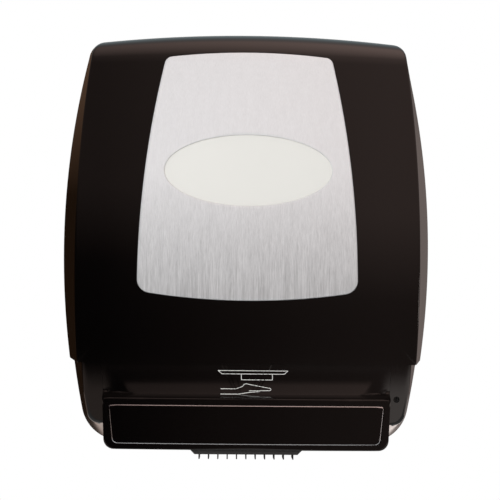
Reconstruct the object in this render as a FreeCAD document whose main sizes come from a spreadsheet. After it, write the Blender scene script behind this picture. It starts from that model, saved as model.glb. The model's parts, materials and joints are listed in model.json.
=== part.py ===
import FreeCAD, Part
import math
import os
import re
import Sketcher

# Automatic roll towel dispenser, wall mounted.
# Millimetres. Origin: centre of the four wall screw holes on the back face.
# X is the viewer's right, Y points into the wall, so the front is at negative Y. Z is up.

SIZES = {
    # outer form: a rounded outline on the wall that tapers towards a bowed front
    "half_width": 159.0,
    "side_radius": 693.0,
    "widest_height": -12.0,
    "top_height": 174.5,
    "top_radius": 1072.0,
    "bottom_height": -181.5,
    "top_corner": 13.0,
    "bottom_corner": 38.0,
    "draft": 6.7,
    "front_depth": 224.4,
    "front_radius": 900.0,
    "front_height": -79.0,
    "bow_radius": 1050.0,
    "brow_depth": 168.7,
    "brow_height": 122.54,
    "brow_radius": 32.0,
    "seam_height": -106.0,
    "wall": 3.0,
    "step_in": 3.7,
    "rim": 12.0,
    # cover hinge
    "hinge_depth": 32.0,
    "hinge_height": 152.0,
    "hinge_sweep": 27.0,
    "cover_back": 5.0,
    "lug_inside": 119.0,
    "lug_width": 5.0,
    "ear_inside": 112.0,
    "eye_radius": 5.5,
    "hinge_pin_radius": 2.5,
    "play": 0.05,
    "ear_foot": 89.0,
    "ear_knee": 115.0,
    # fascia panel and its window
    "panel_top": 138.0,
    "panel_bottom": -57.5,
    "panel_curve": 520.0,
    "panel_half_top": 65.2,
    "panel_half_bottom": 85.6,
    "panel_side_radius": 800.0,
    "panel_corner_top": 6.5,
    "panel_corner_bottom": 11.0,
    "panel_sheet": 1.2,
    "panel_proud": 0.3,
    "panel_gap": 0.3,
    "window_height": 44.0,
    "window_half_width": 65.3,
    "window_half_height": 28.0,
    "window_clear": 1.0,
    "lens_sheet": 1.2,
    "lens_lip": 4.0,
    # back plate and wall fixing
    "plate": 3.0,
    "wall_hole_x": 136.0,
    "wall_hole_z": 80.0,
    "wall_hole_radius": 3.0,
    "housing_seam": -92.0,
    "rim_sheet": 2.5,
    # towel roll
    "roll_radius": 88.0,
    "roll_length": 203.0,
    "roll_depth": 110.0,
    "roll_height": 56.0,
    "core_radius": 22.3,
    "core_wall": 1.5,
    "axle_radius": 5.0,
    "flange_radius": 30.0,
    "arm_inside": 104.0,
    "arm_sheet": 3.0,
    "arm_hinge_x": 112.0,
    "arm_hinge_y": 16.0,
    "arm_screw_x": 114.0,
    "arm_foot": -4.0,
    "arm_top": 52.0,
    "arm_left_top": 72.0,
    "arm_reach": 18.0,
    "arm_corner": 8.0,
    # feed module
    "frame_inside": 103.0,
    "frame_sheet": 2.5,
    "frame_front": 205.0,
    "frame_top": -90.0,
    "frame_bottom": -166.0,
    "frame_flange": 14.0,
    "module_top": -92.0,
    "module_bottom": -150.0,
    "module_hole_x": 111.0,
    "module_hole_high": -105.0,
    "module_hole_low": -140.0,
    "brace_depth": 60.0,
    "brace_height": -120.0,
    "brace_radius": 5.0,
    "brace_tip_radius": 3.0,
    "tie_depth": 186.0,
    "tie_height": -158.0,
    "feed_depth": 168.0,
    "feed_height": -122.0,
    "feed_radius": 16.0,
    "shaft_radius": 4.0,
    "pinch_depth": 195.0,
    "pinch_radius": 10.0,
    "pinch_pivot_depth": 201.0,
    "pinch_pivot_height": -98.0,
    "pinch_shaft_radius": 3.0,
    "pinch_shaft_half": 99.5,
    "wheel_length": 38.0,
    "cheek_inside": 97.0,
    "cheek_sheet": 2.0,
    "carrier_front": 206.0,
    "carrier_top": -94.0,
    "web_depth": 184.5,
    "web_sheet": 0.3,
    "web_half": 100.0,
    # gears
    "tooth_module": 1.0,
    "pinion_teeth": 12,
    "large_teeth": 44,
    "small_teeth": 14,
    "feed_teeth": 36,
    "tooth_play": 0.12,
    "gear_near": 106.5,
    "gear_face": 5.5,
    "gear_far": 113.0,
    "gear_cover_x": 119.2,
    "gear_cover_sheet": 1.5,
    "motor_back": 69.0,
    "motor_radius": 12.0,
    "motor_boss": 5.0,
    "motor_shaft": 1.5,
    "motor_screw_side": 8.5,
    # outlet nose
    "nose_front": 235.0,
    "nose_back": 172.0,
    "nose_top": -106.4,
    "nose_brow": -131.0,
    "nose_bottom": -172.0,
    "nose_half_top": 112.0,
    "nose_half_bottom": 109.3,
    "nose_wall": 2.5,
    "slope_radius": 28.3,
    "nose_corner": 8.0,
    "nose_gap": 0.1,
    "nose_neck": 211.0,
    "slot_front": 192.0,
    "slot_back": 178.0,
    "slot_half": 103.0,
    "neck_height": -146.0,
    "bar_screw_height": -163.0,
    "badge_top": -137.6,
    "badge_bottom": -167.9,
    "badge_half_top": 106.0,
    "badge_half_bottom": 103.0,
    "badge_sheet": 1.6,
    "badge_corner_top": 2.3,
    "badge_corner_bottom": 4.6,
    "tab_half_top": 42.8,
    "tab_half_bottom": 39.5,
    "tab_bottom": -175.3,
    "fin_bottom": -179.0,
    "fin_pitch": 7.2,
    "fin_sheet": 0.9,
    "fin_count": 11,
    "sensor_x": 18.0,
    "sensor_depth": 214.0,
    "sensor_radius": 2.5,
    # batteries
    "cell_radius": 17.1,
    "cell_length": 61.5,
    "cell_depth": 22.5,
    "cell_height": -64.9,
    "tray_half": 129.0,
    "tray_top": -44.0,
    "tray_bottom": -84.0,
    "tray_front": 41.0,
    "tray_wall": 2.0,
    # control box, outboard of the left frame
    "control_side": 118.0,
    "control_front": 172.0,
    "control_back": 108.0,
    "control_top": -94.0,
    "control_bottom": -136.0,
    "control_wall": 1.5,
    "control_x": 113.0,
    "button_depth": 125.0,
    "slider_depth": 149.0,
    "pcb_near": 107.0,
    "pcb_sheet": 1.6,
    # lock
    "lock_x": 116.5,
    "lock_z": -133.0,
    "lock_radius": 2.4,
    "lock_face": 208.0,
    "lock_throw": 5.4,
    "lock_back": 202.0,
    "lock_bar_depth": 199.8,
    "lock_bar_sheet": 2.0,
    "catch_front": 208.0,
    "catch_back": 196.0,
    "catch_top": -78.0,
    "catch_sheet": 2.0,
    # fasteners
    "screw_radius": 1.5,
    "screw_head": 3.0,
    "screw_head_height": 1.5,
    "screw_play": 0.05,
}

doc = FreeCAD.newDocument("towel_dispenser")
sheet = doc.addObject("Spreadsheet::Sheet", "dims")
for row, (alias, size) in enumerate(SIZES.items(), start=1):
    sheet.set(f"A{row}", alias)
    sheet.set(f"B{row}", str(size))
    sheet.setAlias(f"B{row}", alias)
calculator = doc.addObject("App::FeaturePython", "calculator")
doc.recompute()

pieces = {}
counter = {}


# Expressions

def bound(text):
    """The formula with each dimension's name pointing at its cell in the sheet."""
    return re.sub(r"[a-z_]\w*", lambda word: swap(word.group()), str(text))


def swap(word):
    return f"dims.{word}" if word in SIZES else word


def value(text):
    """The number that a formula gives now."""
    result = calculator.evalExpression(bound(text))
    return float(getattr(result, "Value", result))


def bind(target, field, text):
    target.setExpression(field, bound(text))


def label(stem):
    """A fresh name for a working object."""
    counter[stem] = counter.get(stem, 0) + 1
    return f"{stem}_{counter[stem]}"


# Sketches: a polygon is a list of (across, up) or (across, up, radius) corners, counterclockwise.
# A radius makes the edge after its corner an arc, outwards if positive. A circle is ("circle", x, y, radius).

def sketch_on(body, plane, start):
    sketch = body.newObject("Sketcher::SketchObject", label("sketch"))
    face = next(item for item in body.Origin.OriginFeatures if item.Role == plane + "_Plane")
    sketch.AttachmentSupport = [(face, "")]
    sketch.MapMode = "FlatFace"
    bind(sketch, "AttachmentOffset.Base.z", start)
    return sketch


def hold(sketch, kind, edge, end, text):
    """Place one end of an edge at a coordinate that a formula gives."""
    index = sketch.addConstraint(Sketcher.Constraint(kind, -1, 1, edge, end, value(text)))
    bind(sketch, f"Constraints[{index}]", text)


def hold_radius(sketch, edge, text):
    index = sketch.addConstraint(Sketcher.Constraint("Radius", edge, value(text)))
    bind(sketch, f"Constraints[{index}]", text)


def add_circle(sketch, across, up, radius):
    centre = FreeCAD.Vector(value(across), value(up), 0)
    edge = sketch.addGeometry(Part.Circle(centre, FreeCAD.Vector(0, 0, 1), value(radius)))
    hold(sketch, "DistanceX", edge, 3, across)
    hold(sketch, "DistanceY", edge, 3, up)
    hold_radius(sketch, edge, radius)


def arc_middle(first, last, radius):
    """The middle of an arc between two points, on the right of the way from first to last if positive."""
    chord = last - first
    middle = (first + last) * 0.5
    aside = FreeCAD.Vector(chord.y, -chord.x, 0).normalize()
    size = abs(radius)
    rise = size - math.sqrt(size * size - chord.Length ** 2 / 4)
    return middle + aside * math.copysign(rise, radius)


def add_polygon(sketch, corners):
    points = [FreeCAD.Vector(value(corner[0]), value(corner[1]), 0) for corner in corners]
    ends = []
    for index, corner in enumerate(corners):
        first = points[index]
        last = points[(index + 1) % len(points)]
        if len(corner) == 2:
            edge = sketch.addGeometry(Part.LineSegment(first, last))
            ends.append((edge, 1, 2))
            continue
        radius = value(corner[2])
        edge = sketch.addGeometry(Part.Arc(first, arc_middle(first, last, radius), last))
        hold_radius(sketch, edge, f"abs({corner[2]})")
        ends.append((edge, 1, 2) if radius > 0 else (edge, 2, 1))
    for index, (edge, start, finish) in enumerate(ends):
        after, after_start, _ = ends[(index + 1) % len(ends)]
        sketch.addConstraint(Sketcher.Constraint("Coincident", edge, finish, after, after_start))
        hold(sketch, "DistanceX", edge, start, corners[index][0])
        hold(sketch, "DistanceY", edge, start, corners[index][1])


def draw(sketch, loops):
    for loop in loops:
        if loop[0] == "circle":
            add_circle(sketch, *loop[1:])
        else:
            add_polygon(sketch, loop)


def rectangle(left, low, right, high):
    return [(left, low), (right, low), (right, high), (left, high)]


# Bodies: planes are "XY" (faces up), "XZ" (faces the front) and "YZ" (faces right).

def new_body(stem):
    return doc.addObject("PartDesign::Body", label(stem))


def pad(body, plane, start, length, loops, draft=None):
    sketch = sketch_on(body, plane, start)
    draw(sketch, loops)
    feature = body.newObject("PartDesign::Pad", label("pad"))
    feature.Profile = (sketch, [""])
    bind(feature, "Length", length)
    if draft is not None:
        bind(feature, "TaperAngle", f"-({draft})")
    doc.recompute()
    return feature


def pocket(body, plane, start, length, loops):
    """Cut away from the sketch plane, along the way it faces."""
    before = body.Shape.Volume
    sketch = sketch_on(body, plane, start)
    draw(sketch, loops)
    feature = body.newObject("PartDesign::Pocket", label("pocket"))
    feature.Profile = (sketch, [""])
    feature.Reversed = True
    bind(feature, "Length", length)
    doc.recompute()
    if not body.Shape.Volume < before - 1e-3:
        raise RuntimeError(f"{feature.Name} cuts nothing from {body.Name}")
    return feature


def prism(plane, start, length, *loops):
    body = new_body("prism")
    pad(body, plane, start, length, loops)
    return body


def fillet(body, radius, chosen):
    """Round the edges that the test picks by their middle point and direction."""
    names = []
    for index, edge in enumerate(body.Shape.Edges, start=1):
        middle = edge.valueAt((edge.FirstParameter + edge.LastParameter) / 2)
        along = edge.tangentAt((edge.FirstParameter + edge.LastParameter) / 2)
        if chosen(edge, middle, along):
            names.append(f"Edge{index}")
    if not names:
        raise RuntimeError(f"no edge to round on {body.Name}")
    feature = body.newObject("PartDesign::Fillet", label("fillet"))
    feature.Base = (body.Tip if body.Tip != feature else feature.BaseFeature, names)
    bind(feature, "Radius", radius)
    doc.recompute()
    return feature


# Primitives and booleans

AXES = {
    "X": FreeCAD.Rotation(FreeCAD.Vector(0, 1, 0), 90),
    "Y": FreeCAD.Rotation(FreeCAD.Vector(1, 0, 0), -90),
    "Z": FreeCAD.Rotation(),
}


def cylinder(axis, x, y, z, radius, length):
    """A cylinder that starts at the point and runs along the positive axis."""
    item = doc.addObject("Part::Cylinder", label("cylinder"))
    bind(item, "Radius", radius)
    bind(item, "Height", length)
    item.Placement = FreeCAD.Placement(FreeCAD.Vector(0, 0, 0), AXES[axis])
    place(item, x, y, z)
    return item


def cone(axis, x, y, z, radius, end_radius, length):
    item = doc.addObject("Part::Cone", label("cone"))
    bind(item, "Radius1", radius)
    bind(item, "Radius2", end_radius)
    bind(item, "Height", length)
    item.Placement = FreeCAD.Placement(FreeCAD.Vector(0, 0, 0), AXES[axis])
    place(item, x, y, z)
    return item


def block(low, high):
    item = doc.addObject("Part::Box", label("block"))
    for field, first, last in zip(("Length", "Width", "Height"), low, high):
        bind(item, field, f"({last}) - ({first})")
    place(item, *low)
    return item


def place(item, x, y, z):
    bind(item, "Placement.Base.x", x)
    bind(item, "Placement.Base.y", y)
    bind(item, "Placement.Base.z", z)


def fuse(*items):
    joined = doc.addObject("Part::MultiFuse", label("fuse"))
    joined.Shapes = list(items)
    joined.Refine = True
    return joined


def cut(base, *tools):
    result = doc.addObject("Part::Cut", label("cut"))
    result.Base = base
    result.Tool = tools[0] if len(tools) == 1 else fuse(*tools)
    return result


def common(first, second):
    result = doc.addObject("Part::MultiCommon", label("common"))
    result.Shapes = [first, second]
    return result


def group(*items):
    """Separate solids that share a node."""
    result = doc.addObject("Part::Compound", label("group"))
    result.Links = list(items)
    return result


def solid(shape, stem="shape"):
    """A feature whose outline a formula in this file makes."""
    feature = doc.addObject("Part::Feature", label(stem))
    feature.Shape = shape
    return feature


def piece(name, item):
    """Name a finished sub-part."""
    item.Label = name
    pieces[name] = item
    return item


# The outer form, and every surface that runs parallel to it

def form(inset):
    """The dispenser's outline on the wall, drafted forwards and closed by the bowed front and brow."""
    body = new_body("form")
    sketch = sketch_on(body, "XZ", "0")
    draw_outline(sketch, inset)
    feature = body.newObject("PartDesign::Pad", label("pad"))
    feature.Profile = (sketch, [""])
    bind(feature, "Length", "nose_front")
    bind(feature, "TaperAngle", "-draft")
    doc.recompute()
    fillet(body, f"top_corner - {inset}", is_top_corner)
    groove_front(body, inset)
    groove_brow(body, inset)
    return body


def is_top_corner(edge, middle, along):
    return abs(along.y) > 0.7 and abs(middle.x) > 60 and middle.z > 0


def draw_outline(sketch, inset):
    """Bottom line, corner, right side, top, left side and corner, all tangent but at the top corners."""
    side = f"(side_radius - ({inset}))"
    top = f"(top_radius - ({inset}))"
    corner = f"(bottom_corner - ({inset}))"
    low = f"(bottom_height + ({inset}))"
    reach = "(half_width - side_radius)"
    top_centre = "(top_height - top_radius)"
    side_middle = FreeCAD.Vector(value(reach), value("widest_height"), 0)
    turn_z = value(f"{low} + {corner}")
    turn_x = value(f"{reach} + sqrt(({side} - {corner})^2 - ({low} + {corner} - widest_height)^2)")
    turn = FreeCAD.Vector(turn_x, turn_z, 0)
    touch = side_middle + (turn - side_middle).normalize() * value(side)
    shoulder = crossing(side_middle, value(side), value(top_centre), value(top))
    right = [FreeCAD.Vector(turn_x, value(low), 0), touch, shoulder]
    left = [FreeCAD.Vector(-point.x, point.y, 0) for point in reversed(right)]
    points = right + left
    radii = [value(corner), value(side), value(top), value(side), value(corner)]
    for index, radius in enumerate(radii):
        first, last = points[index], points[index + 1]
        sketch.addGeometry(Part.Arc(first, arc_middle(first, last, radius), last))
    sketch.addGeometry(Part.LineSegment(points[5], points[0]))
    for index in range(6):
        kind = "Coincident" if index in (1, 2) else "Tangent"
        sketch.addConstraint(Sketcher.Constraint(kind, index, 2, (index + 1) % 6, 1))
    for edge, across, up, radius in (
        (1, reach, "widest_height", side),
        (2, "0", top_centre, top),
        (3, f"-{reach}", "widest_height", side),
    ):
        hold(sketch, "DistanceX", edge, 3, across)
        hold(sketch, "DistanceY", edge, 3, up)
        hold_radius(sketch, edge, radius)
    hold_radius(sketch, 0, corner)
    hold_radius(sketch, 4, corner)
    hold(sketch, "DistanceY", 5, 1, low)
    hold(sketch, "DistanceY", 5, 2, low)


def crossing(side_middle, side_size, top_z, top_size):
    """Where the right side arc meets the top arc."""
    gap = FreeCAD.Vector(0, top_z, 0) - side_middle
    along = (side_size ** 2 - top_size ** 2 + gap.Length ** 2) / (2 * gap.Length)
    aside = math.sqrt(side_size ** 2 - along ** 2)
    unit = FreeCAD.Vector(gap).normalize()
    across = FreeCAD.Vector(-unit.y, unit.x, 0)
    spots = [side_middle + unit * along + across * aside, side_middle + unit * along - across * aside]
    return max(spots, key=lambda spot: spot.y)


def groove_front(body, inset):
    """Everything in front of the bowed front, turned about a level axis behind the wall."""
    turn_crown(body, inset, "front_depth", "front_height", "front_radius", 0.0, 32.0)


def groove_brow(body, inset):
    """Everything outside the round that joins the front to the top."""
    lean = math.degrees(math.asin(value("(brow_height - front_height) / (front_radius - brow_radius)")))
    middle = (lean + 90 - value("draft")) / 2
    turn = 90 - value("draft") - lean
    turn_crown(body, inset, "brow_depth + brow_radius", "brow_height", "brow_radius", middle, turn)


def turn_crown(body, inset, depth, height, radius, lift, turn):
    """Cut outside a crowned arc that turns about a level axis at the given depth and height."""
    before = body.Shape.Volume
    sketch = sketch_on(body, "XY", height)
    axis_depth = f"({depth} - ({radius}))"
    placement = FreeCAD.Placement(FreeCAD.Vector(0, 0, 0), FreeCAD.Rotation(FreeCAD.Vector(1, 0, 0), -lift))
    sketch.AttachmentOffset = placement
    bind(sketch, "AttachmentOffset.Base.y", f"-{axis_depth}")
    bind(sketch, "AttachmentOffset.Base.z", height)
    size = f"(bow_radius - ({inset}))"
    near = f"(-({radius}) + ({inset}))"
    half = "(half_width + 10)"
    edge_up = f"({near} + {size} - sqrt({size}^2 - {half}^2))"
    far = f"({near} - 60)"
    add_polygon(sketch, [
        (f"-{half}", far),
        (half, far),
        (half, edge_up, f"-{size}"),
        (f"-{half}", edge_up),
    ])
    line = sketch.addGeometry(Part.LineSegment(FreeCAD.Vector(-10, 0, 0), FreeCAD.Vector(10, 0, 0)), True)
    sketch.addConstraint(Sketcher.Constraint("PointOnObject", line, 1, -1))
    sketch.addConstraint(Sketcher.Constraint("PointOnObject", line, 2, -1))
    sketch.addConstraint(Sketcher.Constraint("DistanceX", -1, 1, line, 2, 10))
    sketch.addConstraint(Sketcher.Constraint("DistanceX", -1, 1, line, 1, -10))
    feature = body.newObject("PartDesign::Groove", label("groove"))
    feature.Profile = (sketch, [""])
    feature.ReferenceAxis = (sketch, ["Axis0"])
    feature.Midplane = True
    feature.Angle = turn
    doc.recompute()
    if not body.Shape.Volume < before - 1e-3:
        raise RuntimeError(f"{feature.Name} cuts nothing")


# Tools that several pieces share

def slab(low, high):
    """All the room between two heights."""
    return block(("-half_width - 20", "-nose_front - 30", low), ("half_width + 20", "30", high))


def between(depth_from, depth_to, low, high):
    return block(("-half_width - 20", f"-({depth_to})", low), ("half_width + 20", f"-({depth_from})", high))


def upright(low, high):
    """Picks edges that run to the front, with their middle between two heights."""
    return lambda edge, middle, along: abs(along.y) > 0.9 and low < middle.z < high


def panel_prism(grow):
    """The fascia panel's outline, run through the front of the cover."""
    top = f"(panel_half_top + {grow})"
    foot = f"(panel_half_bottom + {grow})"
    high = f"(panel_top + {grow} - {top}^2 / (2 * panel_curve))"
    low = f"(panel_bottom - {grow} + {foot}^2 / (2 * panel_curve))"
    body = new_body("panel_outline")
    pad(body, "XZ", "nose_front / 2", "nose_front / 2 + 5", [[
        (f"-{foot}", low, "panel_curve"),
        (foot, low, "panel_side_radius"),
        (top, high, "panel_curve"),
        (f"-{top}", high, "panel_side_radius"),
    ]])
    fillet(body, f"panel_corner_top + {grow}", upright(0, math.inf))
    fillet(body, f"panel_corner_bottom + {grow}", upright(-math.inf, 0))
    return body


def window_prism(grow):
    """The oval of the window, grown all round."""
    oval = doc.addObject("Part::Ellipse", label("oval"))
    bind(oval, "MajorRadius", f"window_half_width + {grow}")
    bind(oval, "MinorRadius", f"window_half_height + {grow}")
    oval.Placement = FreeCAD.Placement(FreeCAD.Vector(0, 0, 0), FreeCAD.Rotation(FreeCAD.Vector(1, 0, 0), 90))
    place(oval, "0", "-nose_front / 2", "window_height")
    column = doc.addObject("Part::Extrusion", label("window"))
    column.Base = oval
    column.DirMode = "Custom"
    column.Dir = FreeCAD.Vector(0, -1, 0)
    column.Solid = True
    bind(column, "LengthFwd", "nose_front / 2 + 5")
    return column


def bowed(corners):
    """A side profile turned about the upright axis that the bowed front shares."""
    body = new_body("bowed")
    sketch = sketch_on(body, "YZ", "0")
    add_polygon(sketch, corners)
    centre = "(bow_radius - front_depth)"
    line = sketch.addGeometry(Part.LineSegment(FreeCAD.Vector(value(centre), -10, 0),
                                               FreeCAD.Vector(value(centre), 10, 0)), True)
    for end, up in ((1, "-10"), (2, "10")):
        hold(sketch, "DistanceX", line, end, centre)
        hold(sketch, "DistanceY", line, end, up)
    feature = body.newObject("PartDesign::Revolution", label("revolution"))
    feature.Profile = (sketch, [""])
    feature.ReferenceAxis = (sketch, ["Axis0"])
    feature.Midplane = True
    feature.Angle = 16
    doc.recompute()
    return body


def screw(axis, x, y, z, length, head_past=False):
    """The shank starts at the point and runs along the axis. The head lies before it, or past its end."""
    shank = cylinder(axis, x, y, z, "screw_radius", length)
    start = [x, y, z]
    along = "XYZ".index(axis)
    start[along] = f"({start[along]}) + ({length})" if head_past else f"({start[along]}) - screw_head_height"
    return fuse(shank, cylinder(axis, *start, "screw_head", "screw_head_height"))


def coil(x, y, z, radius, wire, pitch, turns, axis="Z"):
    """A wound spring about an axis through the point."""
    helix = Part.makeLongHelix(pitch, pitch * turns, radius)
    ring = Part.Wire(Part.makeCircle(wire, FreeCAD.Vector(radius, 0, 0), FreeCAD.Vector(0, 1, 0)))
    shape = Part.Wire(helix.Edges).makePipeShell([ring], True, True)
    feature = solid(shape, "coil")
    feature.Placement = FreeCAD.Placement(FreeCAD.Vector(value(x), value(y), value(z)), AXES[axis])
    return feature


def mirrored(item):
    """The same piece on the other side of the middle."""
    other = doc.addObject("Part::Mirroring", label("mirror"))
    other.Source = item
    other.Normal = FreeCAD.Vector(1, 0, 0)
    return other


# Cover

def make_front_cover():
    skin = "panel_sheet - panel_proud"
    shell = cut(form("0"), form("wall"), slab("bottom_height - 20", "seam_height"))
    swept = prism("YZ", "-half_width - 20", "2 * half_width + 40", [
        ("-cover_back", "bottom_height - 20"),
        ("30", "bottom_height - 20"),
        ("30", "top_height + 20"),
        ("-hinge_depth", "top_height + 20"),
        ("-hinge_depth", "hinge_height + hinge_sweep", "-hinge_sweep"),
        ("-cover_back", "hinge_height"),
    ])
    recess = cut(panel_prism("panel_gap"), form(skin))
    ledge = cut(window_prism("lens_lip + 0.2"), form(f"{skin} + lens_sheet"))
    shell = cut(shell, swept, recess, ledge, window_prism("window_clear"))
    lug = fuse(
        block(("lug_inside", "-hinge_depth - eye_radius", "hinge_height"),
              ("lug_inside + lug_width", "-hinge_depth + eye_radius", "top_height")),
        cylinder("X", "lug_inside", "-hinge_depth", "hinge_height", "eye_radius", "lug_width"),
    )
    lug = common(lug, form("wall / 2"))
    bore = cylinder("X", "-half_width", "-hinge_depth", "hinge_height", "hinge_pin_radius + play",
                    "2 * half_width")
    return cut(fuse(shell, lug, mirrored(lug)), bore)


def make_fascia_panel():
    sheet_metal = common(panel_prism("0"), form("-panel_proud"))
    return cut(sheet_metal, form("panel_sheet - panel_proud"), window_prism("0"))


def make_window_lens():
    skin = "panel_sheet - panel_proud"
    return cut(common(window_prism("lens_lip"), form(skin)), form(f"{skin} + lens_sheet"))


def make_cover_catch():
    """Hook inside the cover's lower edge, with a lip behind the lock bar's way up."""
    hook = prism("YZ", "lock_x - 9.5", "7", [
        ("-front_depth", "catch_top - 12"),
        ("-catch_front", "catch_top - 12"),
        ("-catch_front", "catch_top - 2.5"),
        ("-catch_back - catch_sheet", "catch_top - 2.5"),
        ("-catch_back - catch_sheet", "catch_top - 14"),
        ("-catch_back", "catch_top - 14"),
        ("-catch_back", "catch_top"),
        ("-front_depth", "catch_top"),
    ])
    return common(hook, form("wall"))


# Back plate

def make_rear_housing():
    inner = "step_in + wall + nose_gap"
    upper = common(between("0", "plate", "housing_seam", "top_height"), form("step_in"))
    lower = common(between("0", "plate", "bottom_height", "housing_seam"), form(inner))
    rims = common(cut(form("step_in"), form("step_in + rim_sheet")),
                  between("plate", "30", "housing_seam", "120"))
    strip = common(prism("YZ", "-105", "210", [
        ("-plate", "hinge_height - 22"),
        ("-plate + 1", "hinge_height - 22"),
        ("-plate + 1", "top_height"),
        ("-plate - 6", "top_height"),
        ("-plate - 6", "hinge_height + 16"),
        ("-plate - 2", "hinge_height + 8"),
        ("-plate", "hinge_height - 2"),
    ]), form("step_in"))
    ear = fuse(
        prism("YZ", "ear_inside", "lug_width", [
            ("-plate", "ear_foot"),
            ("-plate", "ear_knee - 2"),
            ("-hinge_depth + 8", "ear_knee"),
            ("-hinge_depth + 4.5", "hinge_height - 7"),
            ("-hinge_depth + eye_radius", "hinge_height"),
            ("-hinge_depth - eye_radius", "hinge_height"),
            ("-hinge_depth - eye_radius", "ear_knee"),
            ("-hinge_depth + 6", "ear_foot"),
        ]),
        cylinder("X", "ear_inside", "-hinge_depth", "hinge_height", "eye_radius", "lug_width"),
    )
    lugs = [
        block(("arm_inside", "-arm_hinge_y - 7", low), ("arm_inside + 15", "-plate", f"{low} + 8"))
        for low in ("-14", "66")
    ]
    holes = [
        cylinder("Y", f"{side} * wall_hole_x", "-plate - 1", f"{up} * wall_hole_z", "wall_hole_radius",
                 "plate + 2")
        for side in (-1, 1) for up in (-1, 1)
    ]
    holes += [
        cylinder("Y", x, "-plate - 1", z, "screw_radius", "plate + 2")
        for x, z in ARM_SCREWS + MODULE_SCREWS
    ]
    holes += [
        cylinder("X", "-half_width", "-hinge_depth", "hinge_height", "hinge_pin_radius", "2 * half_width"),
        cylinder("Z", "arm_hinge_x", "-arm_hinge_y", "-20", "hinge_pin_radius", "100"),
    ]
    return cut(fuse(upper, lower, rims, strip, ear, mirrored(ear), *lugs), *holes)


ARM_SCREWS = [("-arm_screw_x", z) for z in ("0", "32", "64")]
MODULE_SCREWS = [
    (x, z) for x in ("-module_hole_x", "module_hole_x") for z in ("module_hole_high", "module_hole_low")
]


def make_hinge_pins():
    right = cylinder("X", "ear_inside - 2", "-hinge_depth", "hinge_height", "hinge_pin_radius", "16")
    return group(right, mirrored(right))


# Chin and outlet nose

def nose_sides(grow):
    """The nose seen from the front: drafted sides and rounded lower corners."""
    slope = "(nose_half_top - nose_half_bottom) / (nose_top - nose_bottom)"
    over = f"(nose_half_top + ({grow}) + 10 * {slope})"
    body = new_body("nose_outline")
    pad(body, "XZ", "nose_back - 1", "nose_front - nose_back + 20", [[
        (f"-nose_half_bottom - ({grow})", f"nose_bottom - ({grow})"),
        (f"nose_half_bottom + ({grow})", f"nose_bottom - ({grow})"),
        (over, "nose_top + 10"),
        (f"-{over}", "nose_top + 10"),
    ]])
    fillet(body, f"nose_corner + ({grow})", upright(-math.inf, value("neck_height")))
    return body


def make_lower_housing():
    shell = cut(form("step_in"), form("step_in + wall"), slab("seam_height + rim", "top_height + 20"))
    boss = common(cylinder("Y", "lock_x", "-front_depth", "lock_z", "5", "20.4"), form("step_in + 0.5"))
    opening = cut(nose_sides("nose_gap"), slab("nose_top + nose_gap", "top_height"))
    bore = cylinder("Y", "lock_x", "-front_depth", "lock_z", "lock_radius + play", "27")
    return cut(fuse(shell, boss), opening, bore)


def make_outlet_nose():
    outer = common(nose_sides("0"), bowed([
        ("-nose_front", "nose_bottom"),
        ("-nose_back", "nose_bottom"),
        ("-nose_back", "neck_height"),
        ("-nose_neck", "neck_height"),
        ("-nose_neck", "nose_top"),
        ("-front_depth + step_in", "nose_top", "-slope_radius"),
        ("-nose_front", "nose_brow"),
    ]))
    inside = common(nose_sides("-nose_wall"), bowed([
        ("-nose_front + nose_wall", "nose_bottom + nose_wall"),
        ("-nose_back - nose_wall", "nose_bottom + nose_wall"),
        ("-nose_back - nose_wall", "nose_top + 5"),
        ("-front_depth + step_in + nose_wall", "nose_top + 5"),
        ("-front_depth + step_in + nose_wall", "nose_top - 2", "-(slope_radius + nose_wall)"),
        ("-nose_front + nose_wall", "nose_brow - 1"),
    ]))
    badge = cut(badge_prism("0.2"), bowed(badge_layer("-nose_front + badge_sheet", "-nose_back")))
    flange = block(("-slot_half + 2", "-slot_front - 3", "nose_bottom"),
                   ("slot_half - 2", "-slot_front", "tie_height"))
    tab = block(("frame_inside + frame_sheet", "-tie_depth - 7", "nose_bottom + 1"),
                ("nose_half_bottom - 1", "-tie_depth + 6", "tie_height + 6"))
    posts = [
        cylinder("Y", x, "-nose_front + 2.9", z, "2.5", "5.1")
        for x in ("-50", "50") for z in ("-159", "-143")
    ]
    slot = block(("-slot_half", "-slot_front", "nose_bottom - 1"),
                 ("slot_half", "-slot_back", "nose_bottom + 5"))
    lens_holes = [
        cylinder("Z", f"{side} * sensor_x", "-sensor_depth", "nose_bottom - 1", "sensor_radius", "5")
        for side in (-1, 1)
    ]
    screw_holes = [
        cylinder("Y", x, "-slot_front - 4", "bar_screw_height", "screw_radius", "5") for x in BAR_SCREWS
    ]
    nose = fuse(cut(outer, inside, badge), flange, tab, mirrored(tab), *posts)
    side_holes = cylinder("X", "-half_width", "-tie_depth", "tie_height", "screw_radius", "2 * half_width")
    return cut(nose, slot, side_holes, *lens_holes, *screw_holes)


BAR_SCREWS = ["-70", "0", "70"]


def badge_layer(front, back):
    return [
        (front, "nose_bottom - 5"),
        (back, "nose_bottom - 5"),
        (back, "nose_brow + 5"),
        (front, "nose_brow + 5"),
    ]


def badge_prism(grow):
    """The inset window of the nose, run forwards."""
    body = new_body("badge_outline")
    pad(body, "XZ", "nose_front - 20", "40", [[
        (f"-badge_half_bottom - {grow}", f"badge_bottom - {grow}"),
        (f"badge_half_bottom + {grow}", f"badge_bottom - {grow}"),
        (f"badge_half_top + {grow}", f"badge_top + {grow}"),
        (f"-badge_half_top - {grow}", f"badge_top + {grow}"),
    ]])
    middle = value("(badge_top + badge_bottom) / 2")
    fillet(body, f"badge_corner_top + {grow}", upright(middle, math.inf))
    fillet(body, f"badge_corner_bottom + {grow}", upright(-math.inf, middle))
    return body


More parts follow.
